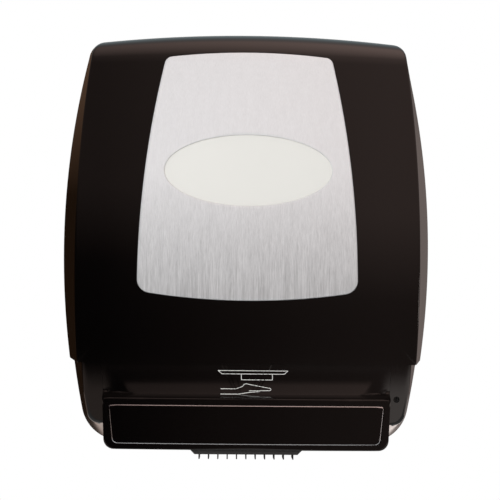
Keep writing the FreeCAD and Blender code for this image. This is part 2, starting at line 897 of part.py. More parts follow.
def make_nose_window():
    return common(badge_prism("0"), bowed(badge_layer("-nose_front", "-nose_front + badge_sheet")))


def make_outlet_comb():
    """Small tab under the nose, with thin fins that keep the hand off the sensors."""
    body = new_body("comb")
    pad(body, "XZ", "slot_front + 4", "36", [[
        ("-tab_half_bottom", "tab_bottom"),
        ("tab_half_bottom", "tab_bottom"),
        ("tab_half_top", "nose_bottom"),
        ("-tab_half_top", "nose_bottom"),
    ]])
    first = "(-fin_pitch * (fin_count - 1) / 2)"
    fin = pad(body, "XZ", "slot_front + 6", "32", [
        rectangle(f"{first} - fin_sheet / 2", "fin_bottom", f"{first} + fin_sheet / 2", "tab_bottom + 0.5"),
    ])
    repeat(body, fin, "X", "fin_pitch * (fin_count - 1)", "fin_count")
    pocket(body, "XY", "fin_bottom - 1", "10", [
        ("circle", f"{side} * sensor_x", "-sensor_depth", "sensor_radius") for side in (-1, 1)
    ])
    return body


def repeat(body, feature, axis, length, count):
    pattern = body.newObject("PartDesign::LinearPattern", label("pattern"))
    pattern.Originals = [feature]
    line = next(item for item in body.Origin.OriginFeatures if item.Role == axis + "_Axis")
    pattern.Direction = (line, [""])
    bind(pattern, "Length", length)
    bind(pattern, "Occurrences", count)
    body.Tip = pattern
    doc.recompute()
    return pattern


def make_sensor_lenses():
    return group(*[
        cylinder("Z", f"{side} * sensor_x", "-sensor_depth", "tab_bottom", "sensor_radius", "6")
        for side in (-1, 1)
    ])


def make_sensor_board():
    board = block(("-60", "-227", "-165"), ("60", "-225.4", "-137"))
    chip = block(("-12", "-225.4", "-156"), ("12", "-223.4", "-148"))
    stems = [
        cylinder("Y", x, "-225.6", "-161", "2", "4") for x in ("-30", "30")
    ]
    return fuse(board, chip, *stems)


def make_tear_bar():
    """Thin steel strip with a saw edge."""
    half = value("slot_half") - 2
    low = value("nose_bottom") - 1.5
    high = value("nose_bottom") + 14
    teeth = 50
    pitch = 2 * half / teeth
    points = [FreeCAD.Vector(half, 0, high), FreeCAD.Vector(-half, 0, high)]
    for index in range(teeth):
        points.append(FreeCAD.Vector(-half + index * pitch, 0, low + 2.4))
        points.append(FreeCAD.Vector(-half + (index + 0.5) * pitch, 0, low))
    points.append(FreeCAD.Vector(half, 0, low + 2.4))
    outline = Part.makePolygon(points + [points[0]])
    strip = solid(Part.Face(outline).extrude(FreeCAD.Vector(0, 1, 0)), "saw_strip")
    strip.Placement = FreeCAD.Placement(FreeCAD.Vector(0, -value("slot_front"), 0), FreeCAD.Rotation())
    return cut(strip, *[
        cylinder("Y", x, "-slot_front - 1", "bar_screw_height", "screw_radius", "3") for x in BAR_SCREWS
    ])


def make_tear_bar_screws():
    return group(*[
        screw("Y", x, "-slot_front - 3", "bar_screw_height", "4", head_past=True) for x in BAR_SCREWS
    ])


def make_nose_screws():
    right = screw("X", "frame_inside", "-tie_depth", "tie_height", "5")
    return group(right, mirrored(right))


# Feed module

LARGE_DEPTH = "(feed_depth - 20)"
LARGE_HEIGHT = "(feed_height + 15)"
MOTOR_DEPTH = "(feed_depth - 47)"
MOTOR_HEIGHT = "(feed_height + 15 - sqrt((tooth_module * (pinion_teeth + large_teeth) / 2)^2 - 27^2))"
COVER_POSTS = [("-112", "-96"), ("-112", "-132"), ("-146", "-134")]


def side_frame(side):
    """Upright plate between the back plate and the nose, with a flange at the back."""
    inside = "frame_inside" if side > 0 else "-frame_inside - frame_sheet"
    body = new_body("frame")
    pad(body, "YZ", inside, "frame_sheet", [[
        ("-frame_front", "frame_bottom"),
        ("-slot_back + 2", "frame_bottom"),
        ("-slot_back + 2", "frame_bottom + 24"),
        ("-feed_depth + 48", "frame_bottom + 24"),
        ("-plate", "module_bottom"),
        ("-plate", "module_top"),
        ("-100", "frame_top"),
        ("-frame_front", "frame_top"),
    ]])
    start = "frame_inside" if side > 0 else "-frame_inside - frame_flange"
    pad(body, "YZ", start, "frame_flange", [rectangle("-plate - 3", "module_bottom", "-plate", "module_top")])
    round_holes = [
        ("-feed_depth", "feed_height", "shaft_radius + 2"),
        ("-pinch_pivot_depth", "pinch_pivot_height", "hinge_pin_radius + play"),
        ("-tie_depth", "tie_height", "screw_radius + screw_play"),
        ("-brace_depth", "brace_height", "brace_tip_radius"),
    ]
    if side > 0:
        round_holes += [
            (f"-{LARGE_DEPTH}", LARGE_HEIGHT, "hinge_pin_radius"),
            (f"-{MOTOR_DEPTH}", MOTOR_HEIGHT, "motor_boss"),
            (f"-{MOTOR_DEPTH} - motor_screw_side", MOTOR_HEIGHT, "screw_radius + screw_play"),
            (f"-{MOTOR_DEPTH} + motor_screw_side", MOTOR_HEIGHT, "screw_radius + screw_play"),
        ]
        round_holes += [(y, z, "screw_radius + screw_play") for y, z in COVER_POSTS]
    pocket(body, "YZ", f"{inside} - 1", "frame_sheet + 2", [("circle", *hole) for hole in round_holes])
    flange_x = "module_hole_x" if side > 0 else "-module_hole_x"
    pocket(body, "XZ", "plate - 1", "6", [
        ("circle", flange_x, z, "screw_radius + screw_play") for z in ("module_hole_high", "module_hole_low")
    ])
    if side > 0:
        guide = block(("frame_inside + 1", "-199.4", "-112"), ("lock_x - 3", "-197.4", "-104"))
        return fuse(body, guide)
    posts = [
        cylinder("X", "-frame_inside - frame_sheet - 1.5", y, z, "2", "2")
        for y in ("-164", "-116") for z in ("-130", "-102")
    ]
    return fuse(body, *posts)


def make_module_screws():
    return group(*[screw("Y", x, "-6", z, "6") for x, z in MODULE_SCREWS])


def make_cross_brace():
    return fuse(
        cylinder("X", "-frame_inside", "-brace_depth", "brace_height", "brace_radius", "2 * frame_inside"),
        cylinder("X", "-frame_inside - frame_sheet", "-brace_depth", "brace_height", "brace_tip_radius",
                 "2 * (frame_inside + frame_sheet)"),
    )


def make_throat_guide():
    """Smooth plate behind the towel, below the feed roller."""
    return prism("YZ", "-frame_inside", "2 * frame_inside", [
        ("-slot_back - 2", "frame_bottom"),
        ("-slot_back - 0.3", "frame_bottom"),
        ("-slot_back - 0.3", "neck_height"),
        ("-nose_back", "neck_height + 6"),
        ("-nose_back - 2", "neck_height + 6"),
        ("-slot_back - 2", "neck_height + 1"),
    ])


def make_upper_guide():
    """Sloped plate that leads the towel down to the rollers."""
    return prism("YZ", "-frame_inside", "2 * frame_inside", [
        ("-182.5", "-104"),
        ("-181", "-104"),
        ("-168", "-91"),
        ("-170.5", "-91"),
    ])


def make_feed_bushings():
    right = fuse(
        cylinder("X", "frame_inside - 1.2", "-feed_depth", "feed_height", "shaft_radius + 3.5", "1.2"),
        cylinder("X", "frame_inside", "-feed_depth", "feed_height", "shaft_radius + 2", "frame_sheet"),
    )
    bore = cylinder("X", "frame_inside - 2", "-feed_depth", "feed_height", "shaft_radius + play",
                    "frame_sheet + 4")
    right = cut(right, bore)
    return group(right, mirrored(right))


def make_feed_shaft():
    return cylinder("X", "-frame_inside - frame_sheet", "-feed_depth", "feed_height", "shaft_radius",
                    "frame_inside + frame_sheet + gear_near + gear_face + 1")


SLEEVES = ["-92", "-42", "4", "54"]


def make_feed_sleeves():
    return group(*[
        cut(cylinder("X", x, "-feed_depth", "feed_height", "feed_radius", "wheel_length"),
            cylinder("X", x, "-feed_depth", "feed_height", "shaft_radius", "wheel_length"))
        for x in SLEEVES
    ])


def make_pinch_wheels():
    return group(*[
        cut(cylinder("X", x, "-pinch_depth", "feed_height", "pinch_radius", "wheel_length"),
            cylinder("X", x, "-pinch_depth", "feed_height", "pinch_shaft_radius", "wheel_length"))
        for x in SLEEVES
    ])


def make_pinch_shaft():
    return cylinder("X", "-pinch_shaft_half", "-pinch_depth", "feed_height", "pinch_shaft_radius",
                    "2 * pinch_shaft_half")


def make_pinch_carrier():
    """Swinging bridge in front of the pinch roller, on two pivot pins."""
    cheek = prism("YZ", "cheek_inside", "cheek_sheet", [
        ("-carrier_front", "feed_height - 6"),
        ("-pinch_depth + 6", "feed_height - 6"),
        ("-pinch_depth + 6", "feed_height + 5"),
        ("-pinch_pivot_depth + 4", "carrier_top"),
        ("-carrier_front", "carrier_top"),
    ])
    middle = "(cheek_inside + cheek_sheet / 2)"
    pivot = cylinder("X", middle, "-pinch_pivot_depth", "pinch_pivot_height", "hinge_pin_radius",
                     f"frame_inside + frame_sheet - {middle}")
    bridge = block((f"-{middle}", "-carrier_front", "carrier_top - 16"),
                   (middle, "-carrier_front + 2", "carrier_top"))
    bore = cylinder("X", "-half_width", "-pinch_depth", "feed_height", "pinch_shaft_radius + play",
                    "2 * half_width")
    return cut(fuse(bridge, cheek, mirrored(cheek), pivot, mirrored(pivot)), bore)


def make_pinch_springs():
    """A short torsion coil round each pivot, between the cheek and the side frame."""
    radius, wire, pitch, turns = 3.4, 0.45, 1.1, 2
    start = f"cheek_inside + cheek_sheet + 0.1 + {wire}"
    return group(*[
        coil(x, "-pinch_pivot_depth", "pinch_pivot_height", radius, wire, pitch, turns, "X")
        for x in (start, f"-({start}) - {pitch * turns}")
    ])


# Gears: teeth with involute flanks, drawn by formula from the module and the tooth count

def gear_face(teeth, start_angle):
    """A gear's outline, with the middle of one tooth at the start angle."""
    module = value("tooth_module")
    play = value("tooth_play")
    pitch_radius = module * teeth / 2
    base = pitch_radius * math.cos(math.radians(20))
    tip = pitch_radius + module
    root = pitch_radius - 1.25 * module
    half_pitch = math.pi / (2 * teeth) - play / (2 * pitch_radius)
    inner = max(base, root)
    edges = []
    for index in range(teeth):
        middle = start_angle + 2 * math.pi * index / teeth
        right = [polar(radius, middle - flank(radius, base, pitch_radius, half_pitch))
                 for radius in stations(inner, tip)]
        left = [polar(radius, middle + flank(radius, base, pitch_radius, half_pitch))
                for radius in stations(tip, inner)]
        width = flank(inner, base, pitch_radius, half_pitch)
        after = middle + 2 * math.pi / teeth
        if root < inner:
            edges.append(Part.LineSegment(polar(root, middle - width), right[0]).toShape())
        edges.append(spline(right))
        edges.append(Part.Arc(right[-1], polar(tip, middle), left[0]).toShape())
        edges.append(spline(left))
        if root < inner:
            edges.append(Part.LineSegment(left[-1], polar(root, middle + width)).toShape())
        edges.append(Part.Arc(polar(root, middle + width), polar(root, middle + math.pi / teeth),
                              polar(root, after - width)).toShape())
    return Part.Face(Part.Wire(edges))


def stations(first, last):
    return [first + (last - first) * step / 3 for step in range(4)]


def flank(radius, base, pitch_radius, half_pitch):
    """Half the tooth's angle at a radius."""
    return half_pitch + involute(pitch_radius, base) - involute(radius, base)


def involute(radius, base):
    angle = math.acos(min(1.0, base / radius))
    return math.tan(angle) - angle


def polar(radius, angle):
    return FreeCAD.Vector(radius * math.cos(angle), radius * math.sin(angle), 0)


def spline(points):
    curve = Part.BSplineCurve()
    curve.interpolate(points)
    return curve.toShape()


def gear(teeth, start_angle, x, depth, height, bore):
    """A spur gear about a level axis. Its angles count from the back (+Y) towards the top (+Z)."""
    shape = gear_face(round(value(teeth)), start_angle).extrude(FreeCAD.Vector(0, 0, value("gear_face")))
    wheel = solid(shape, "gear")
    turned = FreeCAD.Rotation(FreeCAD.Vector(0, 1, 0), FreeCAD.Vector(0, 0, 1), FreeCAD.Vector(1, 0, 0), "XYZ")
    wheel.Placement = FreeCAD.Placement(FreeCAD.Vector(value(x), -value(depth), value(height)), turned)
    if bore is None:
        return wheel
    return cut(wheel, cylinder("X", f"{x} - 1", f"-{depth}", height, bore, "gear_face + 2"))


def way(depth_from, height_from, depth_to, height_to):
    """The angle from one gear's axis to another's."""
    return math.atan2(value(f"({height_to}) - ({height_from})"), value(f"({depth_from}) - ({depth_to})"))


def gap_at(angle, teeth):
    """A start angle that turns a tooth gap, not a tooth, to the given angle."""
    return angle + math.pi / round(value(teeth))


def make_feed_gear():
    towards = way("feed_depth", "feed_height", LARGE_DEPTH, LARGE_HEIGHT)
    return gear("feed_teeth", gap_at(towards, "feed_teeth"), "gear_near", "feed_depth", "feed_height",
                "shaft_radius")


def make_compound_gear():
    to_feed = way(LARGE_DEPTH, LARGE_HEIGHT, "feed_depth", "feed_height")
    to_pinion = way(LARGE_DEPTH, LARGE_HEIGHT, MOTOR_DEPTH, MOTOR_HEIGHT)
    small = gear("small_teeth", to_feed, "gear_near", LARGE_DEPTH, LARGE_HEIGHT, None)
    large = gear("large_teeth", gap_at(to_pinion, "large_teeth"), "gear_far", LARGE_DEPTH, LARGE_HEIGHT, None)
    hub = cylinder("X", "gear_near", f"-{LARGE_DEPTH}", LARGE_HEIGHT, "5", "gear_far - gear_near + gear_face")
    bore = cylinder("X", "gear_near - 1", f"-{LARGE_DEPTH}", LARGE_HEIGHT, "hinge_pin_radius + play", "20")
    return cut(fuse(small, large, hub), bore)


def make_motor_pinion():
    to_large = way(MOTOR_DEPTH, MOTOR_HEIGHT, LARGE_DEPTH, LARGE_HEIGHT)
    teeth = gear("pinion_teeth", to_large, "gear_far", MOTOR_DEPTH, MOTOR_HEIGHT, None)
    hub = cylinder("X", "frame_inside + frame_sheet + 0.5", f"-{MOTOR_DEPTH}", MOTOR_HEIGHT, "3.5",
                   "gear_far - frame_inside - frame_sheet")
    stub = cylinder("X", "frame_inside - 7", f"-{MOTOR_DEPTH}", MOTOR_HEIGHT, "motor_shaft", "12")
    return fuse(teeth, hub, stub)


def make_gear_post():
    return fuse(
        cylinder("X", "frame_inside", f"-{LARGE_DEPTH}", LARGE_HEIGHT, "hinge_pin_radius", "17.7"),
        cylinder("X", "frame_inside - 1.5", f"-{LARGE_DEPTH}", LARGE_HEIGHT, "4", "1.5"),
    )


def make_gear_cover():
    """Outer plate on three posts, which carries the far end of the gear post."""
    body = new_body("gear_cover")
    pad(body, "YZ", "gear_cover_x", "gear_cover_sheet", [[
        ("-158", "-138"),
        ("-108", "-138"),
        ("-106", "-92"),
        ("-150", "-86"),
        ("-170", "-100"),
        ("-170", "-118"),
    ]])
    posts = [
        cylinder("X", "frame_inside + frame_sheet", y, z, "2.5", "14") for y, z in COVER_POSTS
    ]
    holes = [cylinder("X", "frame_inside", y, z, "screw_radius", "12") for y, z in COVER_POSTS]
    bore = cylinder("X", "gear_cover_x - 0.2", f"-{LARGE_DEPTH}", LARGE_HEIGHT, "hinge_pin_radius", "3")
    return cut(fuse(body, *posts), bore, *holes)


def make_gear_cover_screws():
    return group(*[screw("X", "frame_inside", y, z, "10") for y, z in COVER_POSTS])


def make_motor():
    can = cylinder("X", "motor_back", f"-{MOTOR_DEPTH}", MOTOR_HEIGHT, "motor_radius",
                   "frame_inside - motor_back")
    boss = cylinder("X", "frame_inside", f"-{MOTOR_DEPTH}", MOTOR_HEIGHT, "motor_boss", "2")
    tail = cylinder("X", "motor_back - 3", f"-{MOTOR_DEPTH}", MOTOR_HEIGHT, "motor_boss - 1", "3")
    bore = cylinder("X", "frame_inside - 8", f"-{MOTOR_DEPTH}", MOTOR_HEIGHT, "motor_shaft + play", "12")
    holes = [
        cylinder("X", "frame_inside - 6", f"-{MOTOR_DEPTH} + {side} * motor_screw_side", MOTOR_HEIGHT,
                 "screw_radius", "7")
        for side in (-1, 1)
    ]
    return cut(fuse(can, boss, tail), bore, *holes)


def make_motor_screws():
    return group(*[
        screw("X", "frame_inside - 5", f"-{MOTOR_DEPTH} + {side} * motor_screw_side", MOTOR_HEIGHT,
              "frame_sheet + 5", head_past=True)
        for side in (-1, 1)
    ])


# Towel roll and its arms

def roll_cylinder(radius):
    return cylinder("X", "-roll_length / 2", "-roll_depth", "roll_height", radius, "roll_length")


def make_towel_roll():
    return cut(roll_cylinder("roll_radius"), roll_cylinder("core_radius + core_wall"))


def make_roll_core():
    return cut(roll_cylinder("core_radius + core_wall"), roll_cylinder("core_radius"))


def make_right_hub():
    """A flange against the roll and a cone in its core."""
    wheel = fuse(
        cylinder("X", "roll_length / 2 + 0.3", "-roll_depth", "roll_height", "flange_radius", "1.7"),
        cone("X", "roll_length / 2 - 9.5", "-roll_depth", "roll_height", "core_radius - 3.8",
             "core_radius - 0.5", "10"),
    )
    return cut(wheel, cylinder("X", "80", "-roll_depth", "roll_height", "axle_radius + play", "30"))


def make_left_hub():
    seat = cylinder("X", "-roll_length / 2 - 0.3", "-roll_depth", "roll_height", "flange_radius - 2", "0.3")
    bore = cylinder("X", "-roll_length / 2 - 1", "-roll_depth", "roll_height", "axle_radius + play", "12")
    ring = cylinder("X", "-roll_length / 2", "-roll_depth", "roll_height", "core_radius", "5")
    return cut(fuse(mirrored(make_right_hub()), seat, ring), bore)


def arm_plate(stem, back, low, high):
    body = new_body(stem)
    pad(body, "YZ", "arm_inside", "arm_sheet", [[
        ("-roll_depth - arm_reach", "roll_height - arm_reach"),
        ("-60", low),
        (back, low),
        (back, high),
        ("-60", "roll_height + arm_reach - 2"),
        ("-roll_depth - arm_reach", "roll_height + arm_reach"),
    ]])
    fillet(body, "arm_corner", lambda edge, middle, along: abs(along.x) > 0.9 and middle.y < -roll_front())
    axle = cylinder("X", "arm_inside - 12.5", "-roll_depth", "roll_height", "axle_radius", "12.5")
    return body, axle


def roll_front():
    return value("roll_depth") + 10


def make_left_roll_arm():
    body, axle = arm_plate("left_arm", "-plate", "arm_foot", "arm_left_top")
    flange = block(("arm_inside", "-plate - 3", "2 * arm_foot"), ("arm_inside + 17", "-plate", "arm_left_top"))
    holes = [
        cylinder("Y", "arm_screw_x", "-plate - 4", z, "screw_radius + screw_play", "5") for _, z in ARM_SCREWS
    ]
    return mirrored(cut(fuse(body, axle, flange), *holes))


def make_right_roll_arm():
    body, axle = arm_plate("right_arm", "-arm_hinge_y - 4", "arm_foot", "arm_top")
    knuckle = cylinder("Z", "arm_hinge_x", "-arm_hinge_y", "arm_foot - 1.5", "6", "arm_top - arm_foot + 2")
    web = block(("arm_inside", "-arm_hinge_y - 5", "arm_foot"), ("arm_hinge_x", "-arm_hinge_y + 4", "arm_top"))
    bore = cylinder("Z", "arm_hinge_x", "-arm_hinge_y", "-10", "hinge_pin_radius + play", "80")
    return cut(fuse(body, axle, knuckle, web), bore)


def make_arm_hinge_pin():
    return fuse(
        cylinder("Z", "arm_hinge_x", "-arm_hinge_y", "-16", "hinge_pin_radius", "90"),
        cylinder("Z", "arm_hinge_x", "-arm_hinge_y", "74", "4", "2"),
    )


def make_arm_spring():
    radius, wire, pitch, turns = 3.6, 0.5, 1.9, 5
    return coil("arm_hinge_x", "-arm_hinge_y", "arm_top + 2", radius, wire, pitch, turns)


def make_roll_arm_screws():
    return group(*[screw("Y", x, "-6", z, "6") for x, z in ARM_SCREWS])


def make_towel_web():
    """End of the towel, from the front of the roll down through the rollers."""
    depth = value("web_depth")
    centre = FreeCAD.Vector(-value("roll_depth"), value("roll_height"), 0)
    radius = value("roll_radius") + 0.6
    knee = FreeCAD.Vector(-depth, -100, 0)
    gap = knee - centre
    swing = math.atan2(gap.y, gap.x) - math.acos(radius / gap.Length)
    touch = centre + polar(radius, swing)
    wrap = centre + polar(radius, swing - 0.35)
    middle = centre + polar(radius, swing - 0.175)
    low = FreeCAD.Vector(-depth, -148, 0)
    back = [
        Part.Arc(wrap, middle, touch).toShape(),
        Part.LineSegment(touch, knee).toShape(),
        Part.LineSegment(knee, low).toShape(),
    ]
    section = Part.Wire(back).makeOffset2D(value("web_sheet") / 2, fill=True, openResult=True)
    ribbon = solid(section.extrude(FreeCAD.Vector(0, 0, 2 * value("web_half"))), "ribbon")
    turned = FreeCAD.Rotation(FreeCAD.Vector(0, 1, 0), FreeCAD.Vector(0, 0, 1), FreeCAD.Vector(1, 0, 0), "XYZ")
    ribbon.Placement = FreeCAD.Placement(FreeCAD.Vector(-value("web_half"), 0, 0), turned)
    return ribbon


# Batteries

def make_battery_tray():
    body = new_body("tray")
    pad(body, "YZ", "-tray_half", "2 * tray_half", [
        rectangle("-tray_front", "tray_bottom", "-plate", "tray_top"),
    ])
    pocket(body, "YZ", "-tray_half + tray_wall", "2 * (tray_half - tray_wall)", [
        rectangle("-tray_front - 1", "tray_bottom + tray_wall", "-plate - tray_wall", "tray_top - tray_wall"),
    ])
    ears = [
        block((f"{left}", "-46", "tray_bottom - 2"), (f"{left} + 2", "-36", "tray_bottom + 5"))
        for left in ("tray_half - 0.5", "-tray_half - 1.5")
    ]
    bore = cylinder("X", "-tray_half - 3", "-tray_front - 2", "tray_bottom + 1.5", "1.55", "2 * tray_half + 6")
    return cut(fuse(body, *ears), bore)


def make_battery_cells():
    start = "(-2 * cell_length)"
    cells = []
    for index in range(4):
        x = f"({start} + {index} * cell_length)"
        cells.append(fuse(
            cylinder("X", x, "-cell_depth", "cell_height", "cell_radius", "cell_length - 1.5"),
            cylinder("X", x, "-cell_depth", "cell_height", "5", "cell_length"),
        ))
    return group(*cells)


def make_battery_contacts():
    right = fuse(
        block(("tray_half - 2.8", "-cell_depth - 12", "cell_height - 12"),
              ("tray_half - 2", "-cell_depth + 12", "cell_height + 12")),
        cylinder("X", "2 * cell_length", "-cell_depth", "cell_height", "4", "tray_half - 2 - 2 * cell_length"),
    )
    return group(right, mirrored(right))


def make_battery_door():
    leaf = block(("-tray_half + 0.8", "-tray_front - 3", "tray_bottom + 1.5"),
                 ("tray_half - 0.8", "-tray_front - 1", "tray_top"))
    rod = cylinder("X", "-tray_half - 1.5", "-tray_front - 2", "tray_bottom + 1.5", "1.5", "2 * tray_half + 3")
    grip = block(("-12", "-tray_front - 4.5", "tray_top - 5"), ("12", "-tray_front - 2.5", "tray_top - 2"))
    return fuse(leaf, rod, grip)


# Electronics and service controls, outboard of the left frame

def make_control_cover():
    outside = block(("-control_side", "-control_front", "control_bottom"),
                    ("-frame_inside - frame_sheet", "-control_back", "control_top"))
    inside = block(("-control_side + 1.3", "-control_front + control_wall", "control_bottom + control_wall"),
                   ("-frame_inside", "-control_back - control_wall", "control_top - control_wall"))
    button_hole = cylinder("Z", "-control_x", "-button_depth", "control_top - 2", "3.8", "3")
    slider_slot = block(("-control_x - 2.2", "-slider_depth - 7.5", "control_top - 2"),
                        ("-control_x + 2.2", "-slider_depth + 7.5", "control_top + 1"))
    return cut(outside, inside, button_hole, slider_slot)


CONTROL_CHIPS = [
    ("2", "162", "148", "-128", "-114"),
    ("4", "140", "132", "-126", "-110"),
    ("3.4", "126", "116", "-126", "-118"),
]


def make_control_board():
    face = "(-pcb_near - pcb_sheet)"
    board = block((face, "-control_front + 4", "control_bottom + 2"),
                  ("-pcb_near", "-control_back - 4", "control_top - 6"))
    chips = [
        block((f"{face} - {proud}", f"-{front}", low), (face, f"-{back}", high))
        for proud, front, back, low, high in CONTROL_CHIPS
    ]
    return fuse(board, *chips)


def make_advance_button():
    return fuse(
        cylinder("Z", "-control_x", "-button_depth", "control_top - 3.2", "3.6", "6.2"),
        block(("-control_x - 3.4", "-button_depth - 5", "control_top - 4.2"),
              ("-control_x + 3.4", "-button_depth + 5", "control_top - 2.2")),
    )


def make_length_slider():
    return fuse(
        block(("-control_x - 1.8", "-slider_depth - 2.5", "control_top - 3"),
              ("-control_x + 1.8", "-slider_depth + 2.5", "control_top + 3.5")),
        block(("-control_x - 3.4", "-slider_depth - 7", "control_top - 4.2"),
              ("-control_x + 3.4", "-slider_depth + 7", "control_top - 2.2")),
    )


# Lock: a quarter turn lifts the bar behind the cover's catch

def make_lock_barrel():
    step = "(lock_throw * sqrt(0.5))"
    half = "1.13"
    body = cylinder("Y", "lock_x", "-lock_face", "lock_z", "lock_radius", "lock_face - lock_back")
    crank = prism("XZ", "lock_back", "1.6", [
        (f"lock_x - {half}", f"lock_z + {half}"),
        (f"lock_x - {step} - {half}", f"lock_z - {step} + {half}"),
        (f"lock_x - {step} + {half}", f"lock_z - {step} - {half}"),
        (f"lock_x + {half}", f"lock_z - {half}"),
    ])
    finger = cylinder("Y", f"lock_x - {step}", "-lock_back - 1.6", f"lock_z - {step}", "1.6", "4.6")
    keyway = block(("lock_x - 0.5", "-lock_face - 1", "lock_z - 1.5"),
                   ("lock_x + 0.5", "-lock_face + 2", "lock_z + 1.5"))
    return cut(fuse(body, crank, finger), keyway)


def make_lock_bar():
    body = new_body("lock_bar")
    pad(body, "XZ", "lock_bar_depth", "lock_bar_sheet", [[
        ("lock_x - 9", "lock_z - 8"),
        ("lock_x - 3.5", "lock_z - 8"),
        ("lock_x - 0.8", "lock_z - 5.3"),
        ("lock_x - 0.8", "lock_z + 3"),
        ("lock_x - 4.5", "lock_z + 3"),
        ("lock_x - 4.5", "lock_z + 38"),
        ("lock_x - 8.5", "lock_z + 38"),
        ("lock_x - 8.5", "lock_z + 3"),
        ("lock_x - 9", "lock_z + 3"),
    ]])
    step = "(lock_throw * sqrt(0.5))"
    pocket(body, "XZ", "lock_bar_depth - 0.8", "4", [
        rectangle("lock_x - 7.3", f"lock_z - {step} - 1.95", "lock_x - 1.8", f"lock_z - {step} + 1.95"),
    ])
    return body


# The whole dispenser

MAKERS = {
    "front_cover": make_front_cover,
    "fascia_panel": make_fascia_panel,
    "window_lens": make_window_lens,
    "cover_catch": make_cover_catch,
    "rear_housing": make_rear_housing,
    "hinge_pins": make_hinge_pins,
    "lower_housing": make_lower_housing,
    "outlet_nose": make_outlet_nose,
    "nose_window": make_nose_window,
    "outlet_comb": make_outlet_comb,
    "sensor_lenses": make_sensor_lenses,
    "sensor_board": make_sensor_board,
    "tear_bar": make_tear_bar,
    "tear_bar_screws": make_tear_bar_screws,
    "nose_screws": make_nose_screws,
    "right_side_frame": lambda: side_frame(1),
    "left_side_frame": lambda: side_frame(-1),
    "module_screws": make_module_screws,
    "cross_brace": make_cross_brace,
    "throat_guide": make_throat_guide,
    "upper_guide": make_upper_guide,
    "feed_bushings": make_feed_bushings,
    "feed_shaft": make_feed_shaft,
    "feed_sleeves": make_feed_sleeves,
    "feed_gear": make_feed_gear,
    "pinch_carrier": make_pinch_carrier,
    "pinch_shaft": make_pinch_shaft,
    "pinch_wheels": make_pinch_wheels,
    "pinch_springs": make_pinch_springs,
    "compound_gear": make_compound_gear,
    "gear_post": make_gear_post,
    "gear_cover": make_gear_cover,
    "gear_cover_screws": make_gear_cover_screws,
    "motor": make_motor,
    "motor_pinion": make_motor_pinion,
    "motor_screws": make_motor_screws,
    "towel_roll": make_towel_roll,
    "roll_core": make_roll_core,
    "left_hub": make_left_hub,
    "right_hub": make_right_hub,
    "left_roll_arm": make_left_roll_arm,
    "right_roll_arm": make_right_roll_arm,
    "arm_hinge_pin": make_arm_hinge_pin,
    "arm_spring": make_arm_spring,
    "roll_arm_screws": make_roll_arm_screws,
    "towel_web": make_towel_web,
    "battery_tray": make_battery_tray,
    "battery_cells": make_battery_cells,
    "battery_contacts": make_battery_contacts,
    "battery_door": make_battery_door,
    "control_cover": make_control_cover,
    "control_board": make_control_board,
    "advance_button": make_advance_button,
    "length_slider": make_length_slider,
    "lock_barrel": make_lock_barrel,
    "lock_bar": make_lock_bar,
}

for name, make in MAKERS.items():
    piece(name, make())
doc.recompute()

for item in doc.Objects:
    if "Invalid" in item.State or "Error" in item.State:
        raise RuntimeError(f"{item.Name} failed: {item.State}")

os.makedirs("parts", exist_ok=True)
for name, item in pieces.items():
    if item.Shape.isNull() or not item.Shape.isValid() or item.Shape.Volume <= 0:
        raise RuntimeError(f"{name} has no valid shape")
    item.Shape.exportStep(f"parts/{name}.step")
    print(name, len(item.Shape.Solids), round(item.Shape.Volume))
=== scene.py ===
import json
import math
import bpy
import numpy as np
from mathutils import Matrix, Vector


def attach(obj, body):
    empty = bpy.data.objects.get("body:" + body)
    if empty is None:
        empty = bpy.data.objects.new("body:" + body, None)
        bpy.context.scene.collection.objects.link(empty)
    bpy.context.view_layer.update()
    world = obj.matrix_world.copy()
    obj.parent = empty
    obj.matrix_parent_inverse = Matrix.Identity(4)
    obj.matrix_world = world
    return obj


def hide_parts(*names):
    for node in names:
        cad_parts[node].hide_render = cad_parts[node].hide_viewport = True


# Automatic roll towel dispenser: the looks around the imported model.
# Shell formulas are in millimetres in the part's own frame, and meshes are made in metres.

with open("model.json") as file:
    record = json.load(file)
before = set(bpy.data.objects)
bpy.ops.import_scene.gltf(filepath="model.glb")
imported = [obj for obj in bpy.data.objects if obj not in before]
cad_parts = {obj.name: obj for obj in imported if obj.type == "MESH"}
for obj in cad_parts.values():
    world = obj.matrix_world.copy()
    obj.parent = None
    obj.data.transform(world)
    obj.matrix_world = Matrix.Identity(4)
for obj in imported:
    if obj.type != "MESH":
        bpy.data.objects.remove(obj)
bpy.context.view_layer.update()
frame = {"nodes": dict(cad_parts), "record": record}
nodes = frame["nodes"]

MM = 0.001

# Outer form
HALF_WIDTH = 159.0
SIDE_RADIUS = 693.0
WIDEST_Z = -12.0
TOP_Z = 174.5
TOP_RADIUS = 1072.0
BOTTOM_Z = -181.5
TOP_CORNER = 13.0
BOTTOM_CORNER = 38.0
DRAFT = math.tan(math.radians(6.7))
FLARE_CENTRE = 15.0
FLARE_LOW = -130.0
FLARE = 1.4e-6
FRONT_DEPTH = 224.4
FRONT_RADIUS = 900.0
FRONT_Z = -79.0
BOW_RADIUS = 1050.0
BROW_DEPTH = 168.7
BROW_Z = 122.54
BROW_RADIUS = 32.0
BROW_LOW = math.asin((BROW_Z - FRONT_Z) / (FRONT_RADIUS - BROW_RADIUS))
BROW_HIGH = math.radians(90 - 6.7)
SEAM_Z = -106.0
WALL = 3.0
STEP_IN = 3.7
RIM = 12.0

# Hinge side of the cover
HINGE_DEPTH = 32.0
HINGE_Z = 152.0
HINGE_SWEEP = 27.0
COVER_BACK = 5.0
EYE_RADIUS = 5.5
LUG_INSIDE = 119.0
LUG_WIDTH = 5.0
PIN_RADIUS = 2.5

